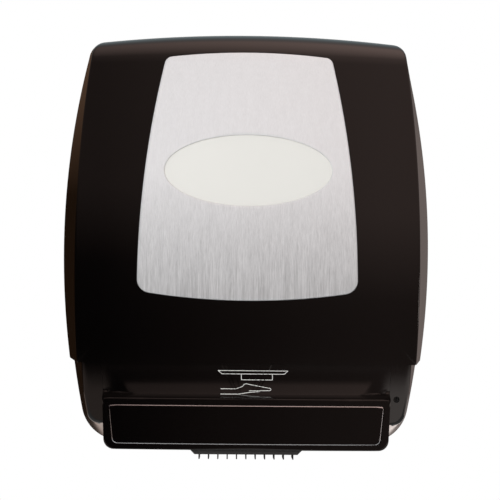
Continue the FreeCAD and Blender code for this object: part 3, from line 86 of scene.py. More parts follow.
# Fascia and window
PANEL_TOP = 138.0
PANEL_BOTTOM = -57.5
PANEL_CURVE = 520.0
PANEL_HALF_TOP = 65.2
PANEL_HALF_BOTTOM = 85.6
PANEL_SIDE_RADIUS = 800.0
PANEL_CORNER_TOP = 6.5
PANEL_CORNER_BOTTOM = 11.0
PANEL_GAP = 0.3
PANEL_PROUD = 0.3
PANEL_SKIN = 0.9
WINDOW_Z = 44.0
WINDOW_HALF_X = 65.3
WINDOW_HALF_Z = 28.0
LENS_SHEET = 1.2
LENS_LIP = 4.0

# Nose
NOSE_FRONT = 235.0
NOSE_BACK = 172.0
NOSE_NECK = 211.0
NOSE_TOP = -106.4
NOSE_BROW = -131.0
NOSE_BOTTOM = -172.0
NOSE_HALF_TOP = 112.0
NOSE_HALF_BOTTOM = 109.3
NOSE_CORNER = 8.0
NOSE_GAP = 0.1
NOSE_WALL = 2.5
NECK_LOW = -146.0
BROW_ROUND = 1.0
BROW_CLEAR = 6.0
SLOPE_POWER = 2.0
FADE_WIDTH = 75.0
FADE_ABOVE = 3.0
FADE_HEIGHT = 5.0
CHIN_HOLD = 10.0
SLOT_FRONT = 192.0
SLOT_BACK = 178.0
SLOT_HALF = 103.0
SENSOR_X = 18.0
SENSOR_DEPTH = 214.0
SENSOR_RADIUS = 2.5
LOCK_X = 116.5
LOCK_Z = -133.0
LOCK_BORE = 2.45
LOCK_END = 203.0

# Plate in the nose's front
BADGE_TOP = -137.6
BADGE_BOTTOM = -167.9
BADGE_HALF_TOP = 106.0
BADGE_HALF_BOTTOM = 103.0
BADGE_CORNER_TOP = 2.3
BADGE_CORNER_BOTTOM = 4.6
BADGE_SHEET = 1.6
BADGE_BEVEL = 0.8
BADGE_FALL = 0.5
BADGE_LEDGE = 3.0
BADGE_GAP = 0.2
BADGE_OVER = 1.0
BADGE_CENTRE = np.array([0.0, -200.0, -152.75])

# Widths over which corners are rounded
EDGE_ROUND = 2.0
EDGE_FADE = 6.0
CREASE_ROUND = 3.0
CHIN_ROUND = 5.0
INNER_ROUND = 1.5

# Ink on the slope
PICTURE_X = 5.0
PICTURE_HALF = 27.0
LINE_HALF = 0.22
INK = 0.06
INK_STEP = 1.5

# Sections and their points
FLAT = 1.0e5
ROUGH = 1
STEPS = 440 // ROUGH
HALVINGS = 11
SECANTS = 3
BISECTIONS = 40
FIRST_TILT = 0.004
BEHIND = math.radians(165)
GRAZE = math.radians(8)
DENSE = 48 // ROUGH
REACH = 420.0
MARGIN = 10.0
CORNER_TURN = 0.15
FINE = 1100
FLAT_STEP = 5.0
TURN_STEP = 0.10
EVEN_REACH = 12
ROUND_SIDES = 48
SHARP = 35.0
TUCK = 0.02
CUT_PAST = 1.0


# Plane outlines: each is a list of discs (x, z, radius) whose overlap is the region,
# and the rounds at its corners

def disc_gap(x, z, disc):
    return np.hypot(x - disc[0], z - disc[1]) - disc[2]


def crossing(first, second, radius, towards):
    """Centre of the round that touches two discs from inside, on the side of the given point."""
    far_first = first[2] - radius
    far_second = second[2] - radius
    gap_x = second[0] - first[0]
    gap_z = second[1] - first[1]
    gap = np.hypot(gap_x, gap_z)
    along = (far_first ** 2 - far_second ** 2 + gap ** 2) / (2 * gap)
    aside = np.sqrt(np.maximum(far_first ** 2 - along ** 2, 0))
    unit_x, unit_z = gap_x / gap, gap_z / gap
    side = np.sign(-unit_z * (towards[0] - first[0]) + unit_x * (towards[1] - first[1]))
    return (
        first[0] + unit_x * along - unit_z * aside * side,
        first[1] + unit_z * along + unit_x * aside * side,
    )


def cross(ax, az, bx, bz):
    return ax * bz - az * bx


def region_gap(x, z, discs, rounds):
    """Distance outside the region, negative inside. A round is (disc, disc, radius, a point near it)."""
    gap = disc_gap(x, z, discs[0])
    for disc in discs[1:]:
        gap = np.maximum(gap, disc_gap(x, z, disc))
    for first, second, radius, towards in rounds:
        cx, cz = crossing(discs[first], discs[second], radius, towards)
        ux, uz = cx - discs[first][0], cz - discs[first][1]
        vx, vz = cx - discs[second][0], cz - discs[second][1]
        wx, wz = x - cx, z - cz
        turn = np.sign(cross(ux, uz, vx, vz))
        within = (cross(ux, uz, wx, wz) * turn > 0) & (cross(wx, wz, vx, vz) * turn > 0)
        gap = np.where(within, np.hypot(wx, wz) - radius, gap)
    return gap


def outline_gap(x, y, z, inset):
    """The outline, drawn in with the distance from the wall, least at the ends of the sides."""
    shrink = inset - DRAFT * y
    flare = -y * FLARE * (np.maximum(z, FLARE_LOW) - FLARE_CENTRE) ** 2
    reach = SIDE_RADIUS - HALF_WIDTH
    discs = [
        (-reach, WIDEST_Z, SIDE_RADIUS - shrink + flare),
        (reach, WIDEST_Z, SIDE_RADIUS - shrink + flare),
        (0.0, TOP_Z - TOP_RADIUS, TOP_RADIUS - shrink),
        (0.0, BOTTOM_Z + FLAT, FLAT - shrink),
    ]
    top = TOP_CORNER - inset
    bottom = BOTTOM_CORNER - shrink
    rounds = [
        (0, 2, top, (HALF_WIDTH, TOP_Z)),
        (1, 2, top, (-HALF_WIDTH, TOP_Z)),
        (0, 3, bottom, (HALF_WIDTH, BOTTOM_Z)),
        (1, 3, bottom, (-HALF_WIDTH, BOTTOM_Z)),
    ]
    return region_gap(x, z, discs, rounds)


def trapezoid(half_top, half_bottom, top, bottom, side_radius, level_radius):
    """Discs of a four-sided outline with bowed sides: right, left, top and bottom."""
    def beside(sign):
        low = np.array([sign * half_bottom, bottom])
        high = np.array([sign * half_top, top])
        middle = (low + high) / 2
        chord = high - low
        inward = np.array([-chord[1], chord[0]]) * sign / np.hypot(*chord)
        drop = math.sqrt(side_radius ** 2 - (chord @ chord) / 4)
        centre = middle + inward * drop
        return (centre[0], centre[1], side_radius)
    top_drop = math.sqrt(level_radius ** 2 - half_top ** 2)
    bottom_drop = math.sqrt(level_radius ** 2 - half_bottom ** 2)
    above = (0.0, top - top_drop, level_radius)
    below = (0.0, bottom + bottom_drop, level_radius)
    return [beside(1), beside(-1), above, below]


def panel_gap(x, z, grow=0.0):
    """The fascia panel seen from the front: bowed on all sides and wider at the foot."""
    half_top = PANEL_HALF_TOP + grow
    half_bottom = PANEL_HALF_BOTTOM + grow
    top = PANEL_TOP + grow - half_top ** 2 / (2 * PANEL_CURVE)
    bottom = PANEL_BOTTOM - grow + half_bottom ** 2 / (2 * PANEL_CURVE)
    discs = trapezoid(half_top, half_bottom, top, bottom, PANEL_SIDE_RADIUS, PANEL_CURVE)
    high, low = PANEL_CORNER_TOP + grow, PANEL_CORNER_BOTTOM + grow
    rounds = [
        (0, 2, high, (half_top, top)),
        (1, 2, high, (-half_top, top)),
        (0, 3, low, (half_bottom, bottom)),
        (1, 3, low, (-half_bottom, bottom)),
    ]
    return region_gap(x, z, discs, rounds)


def badge_gap(x, z, grow=0.0):
    """The nose's plate seen from the front."""
    half_top = BADGE_HALF_TOP + grow
    half_bottom = BADGE_HALF_BOTTOM + grow
    top, bottom = BADGE_TOP + grow, BADGE_BOTTOM - grow
    discs = trapezoid(half_top, half_bottom, top, bottom, FLAT, FLAT)
    rounds = [
        (0, 2, BADGE_CORNER_TOP + grow, (half_top, top)),
        (1, 2, BADGE_CORNER_TOP + grow, (-half_top, top)),
        (0, 3, BADGE_CORNER_BOTTOM + grow, (half_bottom, bottom)),
        (1, 3, BADGE_CORNER_BOTTOM + grow, (-half_bottom, bottom)),
    ]
    return region_gap(x, z, discs, rounds)


def window_gap(x, z, grow=0.0):
    """Sign of an oval, scaled to be about a distance."""
    wide, high = WINDOW_HALF_X + grow, WINDOW_HALF_Z + grow
    reach = np.hypot(x / wide, (z - WINDOW_Z) / high)
    return (reach - 1) * high


def nose_sides_gap(x, z, grow=0.0):
    """The nose seen from the front: drafted sides and rounded lower corners."""
    half = NOSE_HALF_BOTTOM + grow
    low = NOSE_BOTTOM - grow
    discs = trapezoid(NOSE_HALF_TOP + grow, half, NOSE_TOP, low, FLAT, FLAT)
    corner = NOSE_CORNER + grow
    return region_gap(x, z, discs, [(0, 3, corner, (half, low)), (1, 3, corner, (-half, low))])


# Solids: distance outside, from points with the axes last

def bow(x, inset):
    """How far the front falls back beside its middle."""
    radius = BOW_RADIUS - inset
    return radius - np.sqrt(np.maximum(radius ** 2 - x ** 2, 0))


def form_gap(points, inset):
    """The whole dispenser without its nose: the outline, the bowed front and the rounded brow."""
    x, y, z = points[..., 0], points[..., 1], points[..., 2]
    side = outline_gap(x, y, z, inset)
    sag = bow(x, inset) + inset
    front = np.hypot(y - (FRONT_RADIUS - FRONT_DEPTH), z - FRONT_Z) - (FRONT_RADIUS - sag)
    brow = np.hypot(y + BROW_DEPTH, z - BROW_Z) - (BROW_RADIUS - sag)
    lean = np.arctan2(z - BROW_Z, -(y + BROW_DEPTH))
    crown = np.where(lean < BROW_LOW, front, np.where(lean < BROW_HIGH, brow, -FRONT_DEPTH))
    return np.maximum(side, crown)


def smooth_step(value):
    value = np.clip(value, 0, 1)
    return value * value * (3 - 2 * value)


def chin_depth(x, z):
    """How far the chin's front stands off the wall."""
    radius = FRONT_RADIUS - STEP_IN - bow(x, STEP_IN)
    return np.sqrt(radius ** 2 - (z - FRONT_Z) ** 2) - (FRONT_RADIUS - FRONT_DEPTH)


def nose_depth(x, z):
    """The nose's front: a slope out of the chin, then upright. The slope's ends fade into the chin."""
    middle = BOW_RADIUS - FRONT_DEPTH
    start = FRONT_DEPTH - STEP_IN
    rise, run = NOSE_TOP - NOSE_BROW, NOSE_FRONT - start
    fall = np.clip((NOSE_TOP - z) / rise, 0, 2)
    slope = start + run * fall ** SLOPE_POWER
    profile = -BROW_ROUND * np.logaddexp(-slope / BROW_ROUND, -NOSE_FRONT / BROW_ROUND)
    block = np.sqrt((middle + profile) ** 2 - x ** 2) - middle
    chin = chin_depth(x, np.maximum(z, NOSE_BROW - CHIN_HOLD))
    within = smooth_step(-nose_sides_gap(x, z) / FADE_WIDTH)
    full = smooth_step((NOSE_BROW + FADE_ABOVE - z) / FADE_HEIGHT)
    return chin + (block - chin) * np.maximum(within, full)


def nose_gap(points, inset):
    """The nose block: bowed front with its slope, and drafted sides."""
    x, y, z = points[..., 0], points[..., 1], points[..., 2]
    front = -y - nose_depth(x, z)
    return np.maximum.reduce([front, nose_sides_gap(x, z), z - NOSE_TOP]) + inset


# Sections: half-planes about a level axis that cut a solid's surface into lines from the front backwards

def surface_lines(gap, centre, angles):
    """Where rays from the centre leave the solid, one line of points for each angle."""
    tilt = np.linspace(FIRST_TILT, BEHIND, STEPS)
    angle, tilt = np.meshgrid(angles, tilt, indexing="ij")
    way = np.stack([np.sin(tilt) * np.cos(angle), -np.cos(tilt), np.sin(tilt) * np.sin(angle)], -1)
    low = np.zeros_like(tilt)
    high = np.full_like(tilt, REACH)
    for _ in range(HALVINGS):
        middle = (low + high) / 2
        outside = gap(centre + way * middle[..., None]) > 0
        high = np.where(outside, middle, high)
        low = np.where(outside, low, middle)
    gap_low = gap(centre + way * low[..., None])
    gap_high = gap(centre + way * high[..., None])
    for _ in range(SECANTS):
        middle = low + (high - low) * gap_low / (gap_low - gap_high)
        gap_middle = gap(centre + way * middle[..., None])
        outside = gap_middle > 0
        high, gap_high = np.where(outside, middle, high), np.where(outside, gap_middle, gap_high)
        low, gap_low = np.where(outside, low, middle), np.where(outside, gap_low, gap_middle)
    return centre + way * (low + (high - low) * gap_low / (gap_low - gap_high + 1e-12))[..., None]


def first_rise(values):
    """Where a row of values first turns positive, as a fractional index."""
    over = values > 0
    index = int(np.argmax(over))
    if not over.any():
        return float(len(values) - 1)
    if index == 0:
        return 0.0
    before, after = values[index - 1], values[index]
    return index - 1 + before / (before - after)


def pick(line, places):
    """Points of a line at fractional indices."""
    base = np.arange(len(line))
    return np.stack([np.interp(places, base, line[:, axis]) for axis in range(3)], -1)


def lengths(line):
    steps = np.linalg.norm(np.diff(line, axis=0), axis=1)
    return np.concatenate([[0.0], np.cumsum(steps)])


def rounded(line, width):
    """The line with its corners rounded over the given width, ends kept."""
    along = lengths(line)
    even = np.linspace(0, along[-1], FINE)
    line = np.stack([np.interp(even, along, line[:, axis]) for axis in range(3)], -1)
    half = width / 2 / max(along[-1], 1e-6) * (FINE - 1)
    whole = int(half)
    if width <= 0 or half * 4 > FINE:
        return line
    kernel = np.ones(2 * whole + 3)
    kernel[0] = kernel[-1] = half - whole
    kernel /= kernel.sum()
    reach = 2 * whole + 4
    before = 2 * line[0] - line[reach:0:-1]
    after = 2 * line[-1] - line[-2:-reach - 2:-1]
    padded = np.concatenate([before, line, after])
    for _ in range(2):
        padded = np.stack([np.convolve(padded[:, axis], kernel, "same") for axis in range(3)], -1)
    return padded[reach:reach + FINE]


def thinned(line, count):
    """Fewer points, closer together where the line bends."""
    along = lengths(line)
    tangent = np.gradient(line, axis=0)
    tangent /= np.linalg.norm(tangent, axis=1)[:, None] + 1e-12
    bend = np.linalg.norm(np.gradient(tangent, axis=0), axis=1)
    weight = np.gradient(along) / FLAT_STEP + bend / TURN_STEP
    span = 2 * EVEN_REACH + 1
    weight = np.convolve(np.pad(weight, EVEN_REACH, "edge"), np.ones(span) / span, "valid")
    total = np.concatenate([[0.0], np.cumsum((weight[1:] + weight[:-1]) / 2)])
    places = np.interp(np.linspace(0, total[-1], count), total, np.arange(len(line)))
    return pick(line, places)


def between(line, starts, ends):
    """The part of a line from where one test turns positive to where the other does."""
    first = first_rise(starts)
    last = max(first_rise(ends), first + 0.01)
    inside = np.arange(math.floor(first) + 1, math.ceil(last))
    return pick(line, np.concatenate([[first], inside, [last]]))


def with_corners(line):
    """The line with a point added where two stretches would meet in a corner between its points."""
    step = np.diff(line, axis=0)
    way = step / np.linalg.norm(step, axis=1)[:, None]
    before, after = way[1:-3], way[3:-1]
    cosine = (before * after).sum(axis=1)
    lead = np.arccos(np.clip((way[:-4] * before).sum(axis=1), -1, 1))
    trail = np.arccos(np.clip((after * way[4:]).sum(axis=1), -1, 1))
    turn = np.arccos(np.clip(cosine, -1, 1))
    across = step[2:-2]
    one, two = (across * before).sum(axis=1), (across * after).sum(axis=1)
    reach = (one - cosine * two) / np.maximum(1 - cosine ** 2, 1e-9)
    rest = (two - cosine * one) / np.maximum(1 - cosine ** 2, 1e-9)
    bent = (turn > CORNER_TURN) & (np.maximum(lead, trail) < turn / 4) & (reach > 0) & (rest > 0)
    places = np.nonzero(bent)[0]
    corners = line[places + 2] + before[places] * reach[places, None]
    return np.insert(line, places + 3, corners, axis=0)


def skin(gap, centre, angles, begins, ends, count, width=0.0):
    """Surface points between two limits, one row for each angle. The width may differ from row to row.
    A line is rounded with some of the surface past its limits, so its corners stay true up to its ends."""
    rows = []
    for line, width in zip(surface_lines(gap, centre, angles), np.broadcast_to(width, len(angles))):
        line = with_corners(line)
        longer = between(line, begins(line) + MARGIN, ends(line) - MARGIN)
        smooth = rounded(longer, width)
        rows.append(thinned(between(smooth, begins(smooth), ends(smooth)), count))
    return np.array(rows)


def xz(line):
    return line[..., 0], line[..., 2]


# Meshes

def new_piece(name, points, faces, sharp=SHARP):
    mesh = bpy.data.meshes.new(name)
    mesh.from_pydata([tuple(point) for point in np.asarray(points) * MM], [], faces)
    mesh.validate()
    mesh.update()
    for polygon in mesh.polygons:
        polygon.use_smooth = True
    mesh.set_sharp_from_angle(angle=math.radians(sharp))
    piece = bpy.data.objects.new(name, mesh)
    bpy.context.scene.collection.objects.link(piece)
    return piece


def grid_faces(rows, columns, wrap_columns=True):
    faces = []
    for row in range(rows):
        after = (row + 1) % rows
        for column in range(columns if wrap_columns else columns - 1):
            beside = (column + 1) % columns
            faces.append((
                row * columns + column,
                row * columns + beside,
                after * columns + beside,
                after * columns + column,
            ))
    return faces


def ring_piece(name, grids, sharp=SHARP):
    """A closed shell from grids that follow each other round every section."""
    points = np.concatenate(grids, axis=1)
    rows, columns = points.shape[:2]
    return new_piece(name, points.reshape(-1, 3), grid_faces(rows, columns), sharp)


def angle_set(count, *exact, dense=()):
    """Even directions round a full turn, with exact ones kept and more of them within each dense span."""
    angles = np.linspace(0, 2 * math.pi, count, endpoint=False)
    for angle in exact:
        angle = angle % (2 * math.pi)
        angles[np.argmin(np.abs(angles - angle))] = angle
    for low, high in dense:
        low, high = low % (2 * math.pi), high % (2 * math.pi)
        outside = angles[(angles < low - 0.001) | (angles > high + 0.001)]
        angles = np.sort(np.concatenate([outside, np.linspace(low, high, DENSE)]))
    return angles


# Materials

SMUDGE = 0.012
STREAK = 0.05


def material(slot):
    made = bpy.data.materials.new(slot + "_look")
    made.use_nodes = True
    tree = made.node_tree
    return made, tree, tree.nodes["Principled BSDF"]


def add(tree, kind, **inputs):
    node = tree.nodes.new(kind)
    for field, setting in inputs.items():
        if field in node.inputs:
            node.inputs[field].default_value = setting
        else:
            setattr(node, field, setting)
    return node


def object_place(tree, scale=(1, 1, 1)):
    place = add(tree, "ShaderNodeTexCoord")
    mapping = add(tree, "ShaderNodeMapping")
    mapping.inputs["Scale"].default_value = scale
    tree.links.new(place.outputs["Object"], mapping.inputs["Vector"])
    return mapping.outputs["Vector"]


def noise(tree, place, scale, detail=4.0, roughness=0.5):
    node = add(tree, "ShaderNodeTexNoise", Scale=scale, Detail=detail, Roughness=roughness)
    tree.links.new(place, node.inputs["Vector"])
    return node.outputs["Fac"]


def spread(tree, factor, low, high, from_low=0.3, from_high=0.7):
    node = add(tree, "ShaderNodeMapRange")
    node.inputs["From Min"].default_value = from_low
    node.inputs["From Max"].default_value = from_high
    node.inputs["To Min"].default_value = low
    node.inputs["To Max"].default_value = high
    tree.links.new(factor, node.inputs["Value"])
    return node.outputs["Result"]


def tint(tree, factor, dark, light):
    node = add(tree, "ShaderNodeMix", data_type="RGBA")
    node.inputs["A"].default_value = (*dark, 1)
    node.inputs["B"].default_value = (*light, 1)
    tree.links.new(factor, node.inputs["Factor"])
    return node.outputs["Result"]


def bump(tree, shader, height, strength, distance):
    node = add(tree, "ShaderNodeBump", Strength=strength, Distance=distance)
    tree.links.new(height, node.inputs["Height"])
    tree.links.new(node.outputs["Normal"], shader.inputs["Normal"])


def plastic(slot, colour, roughness, grain=0.0):
    """Moulded plastic with faint smudges in its gloss and, if asked, a spark-eroded grain."""
    made, tree, shader = material(slot)
    place = object_place(tree)
    smudge = noise(tree, place, 14.0, 5.0)
    dark = tuple(channel * 0.9 for channel in colour)
    light = tuple(channel * 1.1 for channel in colour)
    tree.links.new(tint(tree, smudge, dark, light), shader.inputs["Base Color"])
    tree.links.new(spread(tree, smudge, roughness - SMUDGE, roughness + SMUDGE), shader.inputs["Roughness"])
    if grain:
        bump(tree, shader, noise(tree, place, 1600.0, 3.0), 0.35, grain)
    else:
        bump(tree, shader, noise(tree, place, 90.0, 2.0), 0.03, 0.0004)
    return made


def brushed(slot, colour, roughness):
    """Plain metal with a fine grain in its colour and its gloss."""
    made, tree, shader = material(slot)
    place = object_place(tree)
    fine = noise(tree, place, 900.0, 3.0, 0.7)
    broad = noise(tree, place, 120.0, 3.0, 0.6)
    dark = tuple(channel * 0.86 for channel in colour)
    light = tuple(min(channel * 1.1, 1.0) for channel in colour)
    tree.links.new(tint(tree, fine, dark, light), shader.inputs["Base Color"])
    tree.links.new(spread(tree, broad, roughness - STREAK, roughness + STREAK), shader.inputs["Roughness"])
    shader.inputs["Metallic"].default_value = 1.0
    bump(tree, shader, fine, 0.5, 0.00003)
    return made


def fascia_metal(slot, colour):
    """Brushed foil: fine upright lines, stronger towards the foot, over a colour darkened towards the foot
    as painted shade.
    """
    made, tree, shader = material(slot)
    fine = noise(tree, object_place(tree, (1, 1, 0.006)), 1500.0, 3.0, 0.8)
    broad = noise(tree, object_place(tree, (1, 1, 0.02)), 320.0, 3.0, 0.6)
    parts = add(tree, "ShaderNodeSeparateXYZ")
    tree.links.new(object_place(tree), parts.inputs["Vector"])
    foot = spread(tree, parts.outputs["Z"], 0.9, 0.25, PANEL_BOTTOM * MM, WINDOW_Z * MM)
    # level darkens the colour from the window down to the foot: painted shade, not a property of the foil.
    level = spread(tree, parts.outputs["Z"], 0.22, 0.86, PANEL_BOTTOM * MM, WINDOW_Z * MM)
    lines = add(tree, "ShaderNodeMath", operation="ADD")
    tree.links.new(spread(tree, fine, -0.36, 0.36), lines.inputs[0])
    tree.links.new(spread(tree, broad, -0.14, 0.14), lines.inputs[1])
    # The line pattern plus the painted shade that darkens towards the foot.
    lines_and_painted_shade = add(tree, "ShaderNodeMath", operation="MULTIPLY_ADD")
    tree.links.new(lines.outputs[0], lines_and_painted_shade.inputs[0])
    tree.links.new(foot, lines_and_painted_shade.inputs[1])
    tree.links.new(level, lines_and_painted_shade.inputs[2])
    dark = tuple(channel * 0.52 for channel in colour)
    light = tuple(min(channel * 1.08, 1.0) for channel in colour)
    tree.links.new(tint(tree, lines_and_painted_shade.outputs[0], dark, light), shader.inputs["Base Color"])
    tree.links.new(spread(tree, broad, 0.36, 0.44), shader.inputs["Roughness"])
    shader.inputs["Metallic"].default_value = 0.35
    bump(tree, shader, fine, 0.2, 0.000006)
    return made


def clear(slot):
    """Thin clear sheet with a slight milky haze and faint smears."""
    made, tree, shader = material(slot)
    smear = noise(tree, object_place(tree), 25.0, 4.0)
    tree.links.new(spread(tree, smear, 0.05, 0.12), shader.inputs["Roughness"])
    shader.inputs["Base Color"].default_value = (0.93, 0.92, 0.88, 1)
    shader.inputs["Alpha"].default_value = 0.75
    return made


def paper(slot, colour):
    """Embossed towel paper: soft fibres over a fine dimple pattern."""
    made, tree, shader = material(slot)
    place = object_place(tree)
    fibre = noise(tree, place, 420.0, 6.0, 0.65)
    cloud = noise(tree, place, 30.0, 3.0)
    dimple = add(tree, "ShaderNodeTexVoronoi", Scale=330.0)
    tree.links.new(place, dimple.inputs["Vector"])
    mixed = add(tree, "ShaderNodeMath", operation="ADD")
    tree.links.new(fibre, mixed.inputs[0])
    tree.links.new(dimple.outputs["Distance"], mixed.inputs[1])
    dark = tuple(channel * 0.93 for channel in colour)
    tree.links.new(tint(tree, cloud, dark, colour), shader.inputs["Base Color"])
    shader.inputs["Roughness"].default_value = 0.95
    shader.inputs["Sheen Weight"].default_value = 0.15
    bump(tree, shader, mixed.outputs[0], 0.5, 0.0002)
    return made


LOOKS = {
    "gloss_black": plastic("gloss_black", (0.0012, 0.0009, 0.0009), 0.075),
    "brushed_fascia": fascia_metal("brushed_fascia", (0.86, 0.865, 0.88)),
    "clear_lens": clear("clear_lens"),
    "satin_black": plastic("satin_black", (0.0016, 0.0012, 0.0012), 0.09),
    "matte_black": plastic("matte_black", (0.02, 0.02, 0.02), 0.45, grain=0.00004),
    "charcoal_plastic": plastic("charcoal_plastic", (0.045, 0.046, 0.048), 0.5, grain=0.00005),
    "grey_plastic": plastic("grey_plastic", (0.32, 0.33, 0.34), 0.42, grain=0.00005),
    "white_acetal": plastic("white_acetal", (0.80, 0.80, 0.77), 0.33),
    "grey_rubber": plastic("grey_rubber", (0.09, 0.09, 0.095), 0.75, grain=0.00008),
    "bronze": brushed("bronze", (0.55, 0.38, 0.20), 0.4),
    "dark_lens": plastic("dark_lens", (0.05, 0.005, 0.01), 0.08),
    "circuit_board": plastic("circuit_board", (0.03, 0.20, 0.09), 0.4),
    "battery_wrap": plastic("battery_wrap", (0.55, 0.40, 0.12), 0.3),
    "spring_steel": brushed("spring_steel", (0.60, 0.60, 0.62), 0.22),
    "plated_steel": brushed("plated_steel", (0.56, 0.56, 0.57), 0.34),
    "towel_paper": paper("towel_paper", (0.86, 0.85, 0.81)),
    "brown_card": paper("brown_card", (0.42, 0.30, 0.18)),
    "button_blue": plastic("button_blue", (0.03, 0.13, 0.42), 0.3),
}


def dress(piece, slot, body):
    piece.data.materials.clear()
    piece.data.materials.append(LOOKS[slot])
    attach(piece, body)


for subpart in frame["record"]["subparts"]:
    for material_slot in nodes[subpart["node"]].material_slots:
        material_slot.link = "OBJECT"
        material_slot.material = LOOKS[subpart["material_slot"]]


# Cover, fascia and lens: every section is a half-plane through the middle of the window

WINDOW_CENTRE = np.array([0.0, -100.0, WINDOW_Z])
HOLE_OVER = 1.0
LIP_OVER = LENS_LIP + 0.2
PANEL_ROLL = 1.6
ROLL_STEPS = 8
FACE_OVER = 0.5
PANEL_BACK = PANEL_SKIN - 0.05


def cover_end(line):
    """Positive past the seam, past the back edge or inside the hinge's sweep."""
    y, z = line[..., 1], line[..., 2]
    low_back = y + COVER_BACK
    high_back = np.hypot(y + HINGE_DEPTH, z - HINGE_Z) - HINGE_SWEEP
    high_back = np.where(y > -HINGE_DEPTH, high_back, y + HINGE_DEPTH)
    back = np.where(z > HINGE_Z, high_back, low_back)
    return np.maximum(SEAM_Z - z, back)


def seam_angle():
    """Direction from the window's middle to the end of the seam at the cover's back edge."""
    low, high = 0.0, HALF_WIDTH
    for _ in range(BISECTIONS):
        middle = (low + high) / 2
        gap = outline_gap(np.array(middle), -COVER_BACK, np.array(SEAM_Z), 0.0)
        low, high = (low, middle) if gap > 0 else (middle, high)
    return math.atan2(SEAM_Z - WINDOW_Z, low)


def cover_skin(inset, begins, count, width=0.0, ends=cover_end):
    return skin(lambda p: form_gap(p, inset), WINDOW_CENTRE, COVER_ANGLES, begins, ends, count, width)


RIGHT_END = seam_angle()
LEFT_END = math.pi - RIGHT_END
COVER_ANGLES = angle_set(720 // ROUGH, RIGHT_END, LEFT_END,
                         dense=[(RIGHT_END - GRAZE, RIGHT_END), (LEFT_END, LEFT_END + GRAZE)])


def make_cover():
    """Bowed shell with an oval hole, a ledge for the lens round it and a recess for the panel."""
    outer = cover_skin(0.0, lambda p: panel_gap(*xz(p), PANEL_GAP), 84, CREASE_ROUND)
    inner = cover_skin(WALL, lambda p: window_gap(*xz(p), HOLE_OVER), 50, INNER_ROUND)[:, ::-1]
    ledge = cover_skin(PANEL_SKIN + LENS_SHEET, lambda p: window_gap(*xz(p), HOLE_OVER), 3,
                       ends=lambda p: window_gap(*xz(p), LIP_OVER))
    floor = cover_skin(PANEL_SKIN, lambda p: window_gap(*xz(p), LIP_OVER), 6,
                       ends=lambda p: panel_gap(*xz(p), PANEL_GAP))
    cover = ring_piece("front_cover_shell", [outer, inner, ledge, floor])
    dress(cover, "gloss_black", "cover")
    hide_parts("front_cover")


def make_fascia():
    """Thin brushed sheet whose outer edge rolls back into the cover's recess."""
    face = cover_skin(-PANEL_PROUD, lambda p: window_gap(*xz(p), FACE_OVER), 40,
                      ends=lambda p: panel_gap(*xz(p), -PANEL_ROLL))
    edge = cover_skin(PANEL_BACK, lambda p: panel_gap(*xz(p), -TUCK), 2,
                      ends=lambda p: panel_gap(*xz(p), 0.0))
    rows = []
    for front, side in zip(face, edge):
        start, end = front[-1], side[0]
        turn = np.linspace(0, math.pi / 2, ROLL_STEPS)[1:, None]
        flat = np.array([end[0] - start[0], 0.0, end[2] - start[2]])
        drop = np.array([0.0, end[1] - start[1], 0.0])
        rows.append(start + flat * np.sin(turn) + drop * (1 - np.cos(turn)))
    roll = np.array(rows)
    back = cover_skin(PANEL_BACK, lambda p: window_gap(*xz(p), 0.0), 20,
                      ends=lambda p: panel_gap(*xz(p), -PANEL_GAP))[:, ::-1]
    lip = cover_skin(0.0, lambda p: window_gap(*xz(p), 0.0), 2,
                     ends=lambda p: window_gap(*xz(p), TUCK))[:, :1]
    fascia = ring_piece("fascia_sheet", [face, roll, back, lip], sharp=60.0)
    dress(fascia, "brushed_fascia", "cover")
    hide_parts("fascia_panel")


def pole(line):
    """A limit that lets a line start at the middle of its sections."""
    return np.ones(len(line))


def sheet_piece(name, front, back):
    """A closed sheet from two grids that both start near the middle."""
    points = np.concatenate([front, back[:, ::-1]], axis=1)
    rows, columns = points.shape[:2]
    faces = grid_faces(rows, columns, wrap_columns=False)
    faces.append([row * columns for row in range(rows)][::-1])
    faces.append([row * columns + columns - 1 for row in range(rows)])
    return new_piece(name, points.reshape(-1, 3), faces, sharp=60.0)


def cut_away(piece, cutters):
    """Take closed shapes out of a closed shell."""
    for cutter in cutters:
        step = piece.modifiers.new("cut", "BOOLEAN")
        step.operation = "DIFFERENCE"
        step.solver = "EXACT"
        step.object = cutter
    graph = bpy.context.evaluated_depsgraph_get()
    mesh = bpy.data.meshes.new_from_object(piece.evaluated_get(graph))
    mesh.set_sharp_from_angle(angle=math.radians(SHARP))
    piece.modifiers.clear()
    piece.data = mesh
    for cutter in cutters:
        bpy.data.objects.remove(cutter)


def box_shape(low, high):
    """A plain block for cutting."""
    corners = [(x, y, z) for x in (low[0], high[0]) for y in (low[1], high[1]) for z in (low[2], high[2])]
    faces = [(0, 1, 3, 2), (4, 6, 7, 5), (0, 4, 5, 1), (2, 3, 7, 6), (0, 2, 6, 4), (1, 5, 7, 3)]
    return new_piece("cutter", corners, faces)


def rod_shape(start, end, radius):
    """A plain round bar between two points, for cutting."""
    start, end = np.array(start), np.array(end)
    way = (end - start) / np.linalg.norm(end - start)
    aside = np.cross(way, [0.6, 0.64, 0.48])
    aside /= np.linalg.norm(aside)
    other = np.cross(way, aside)
    count = ROUND_SIDES
    turn = np.linspace(0, 2 * math.pi, count, endpoint=False)[:, None]
    ring = radius * (aside * np.cos(turn) + other * np.sin(turn))
    points = np.concatenate([start + ring, end + ring])
    faces = [(i, (i + 1) % count, count + (i + 1) % count, count + i) for i in range(count)]
    faces += [list(range(count))[::-1], list(range(count, 2 * count))]
    return new_piece("cutter", points, faces)


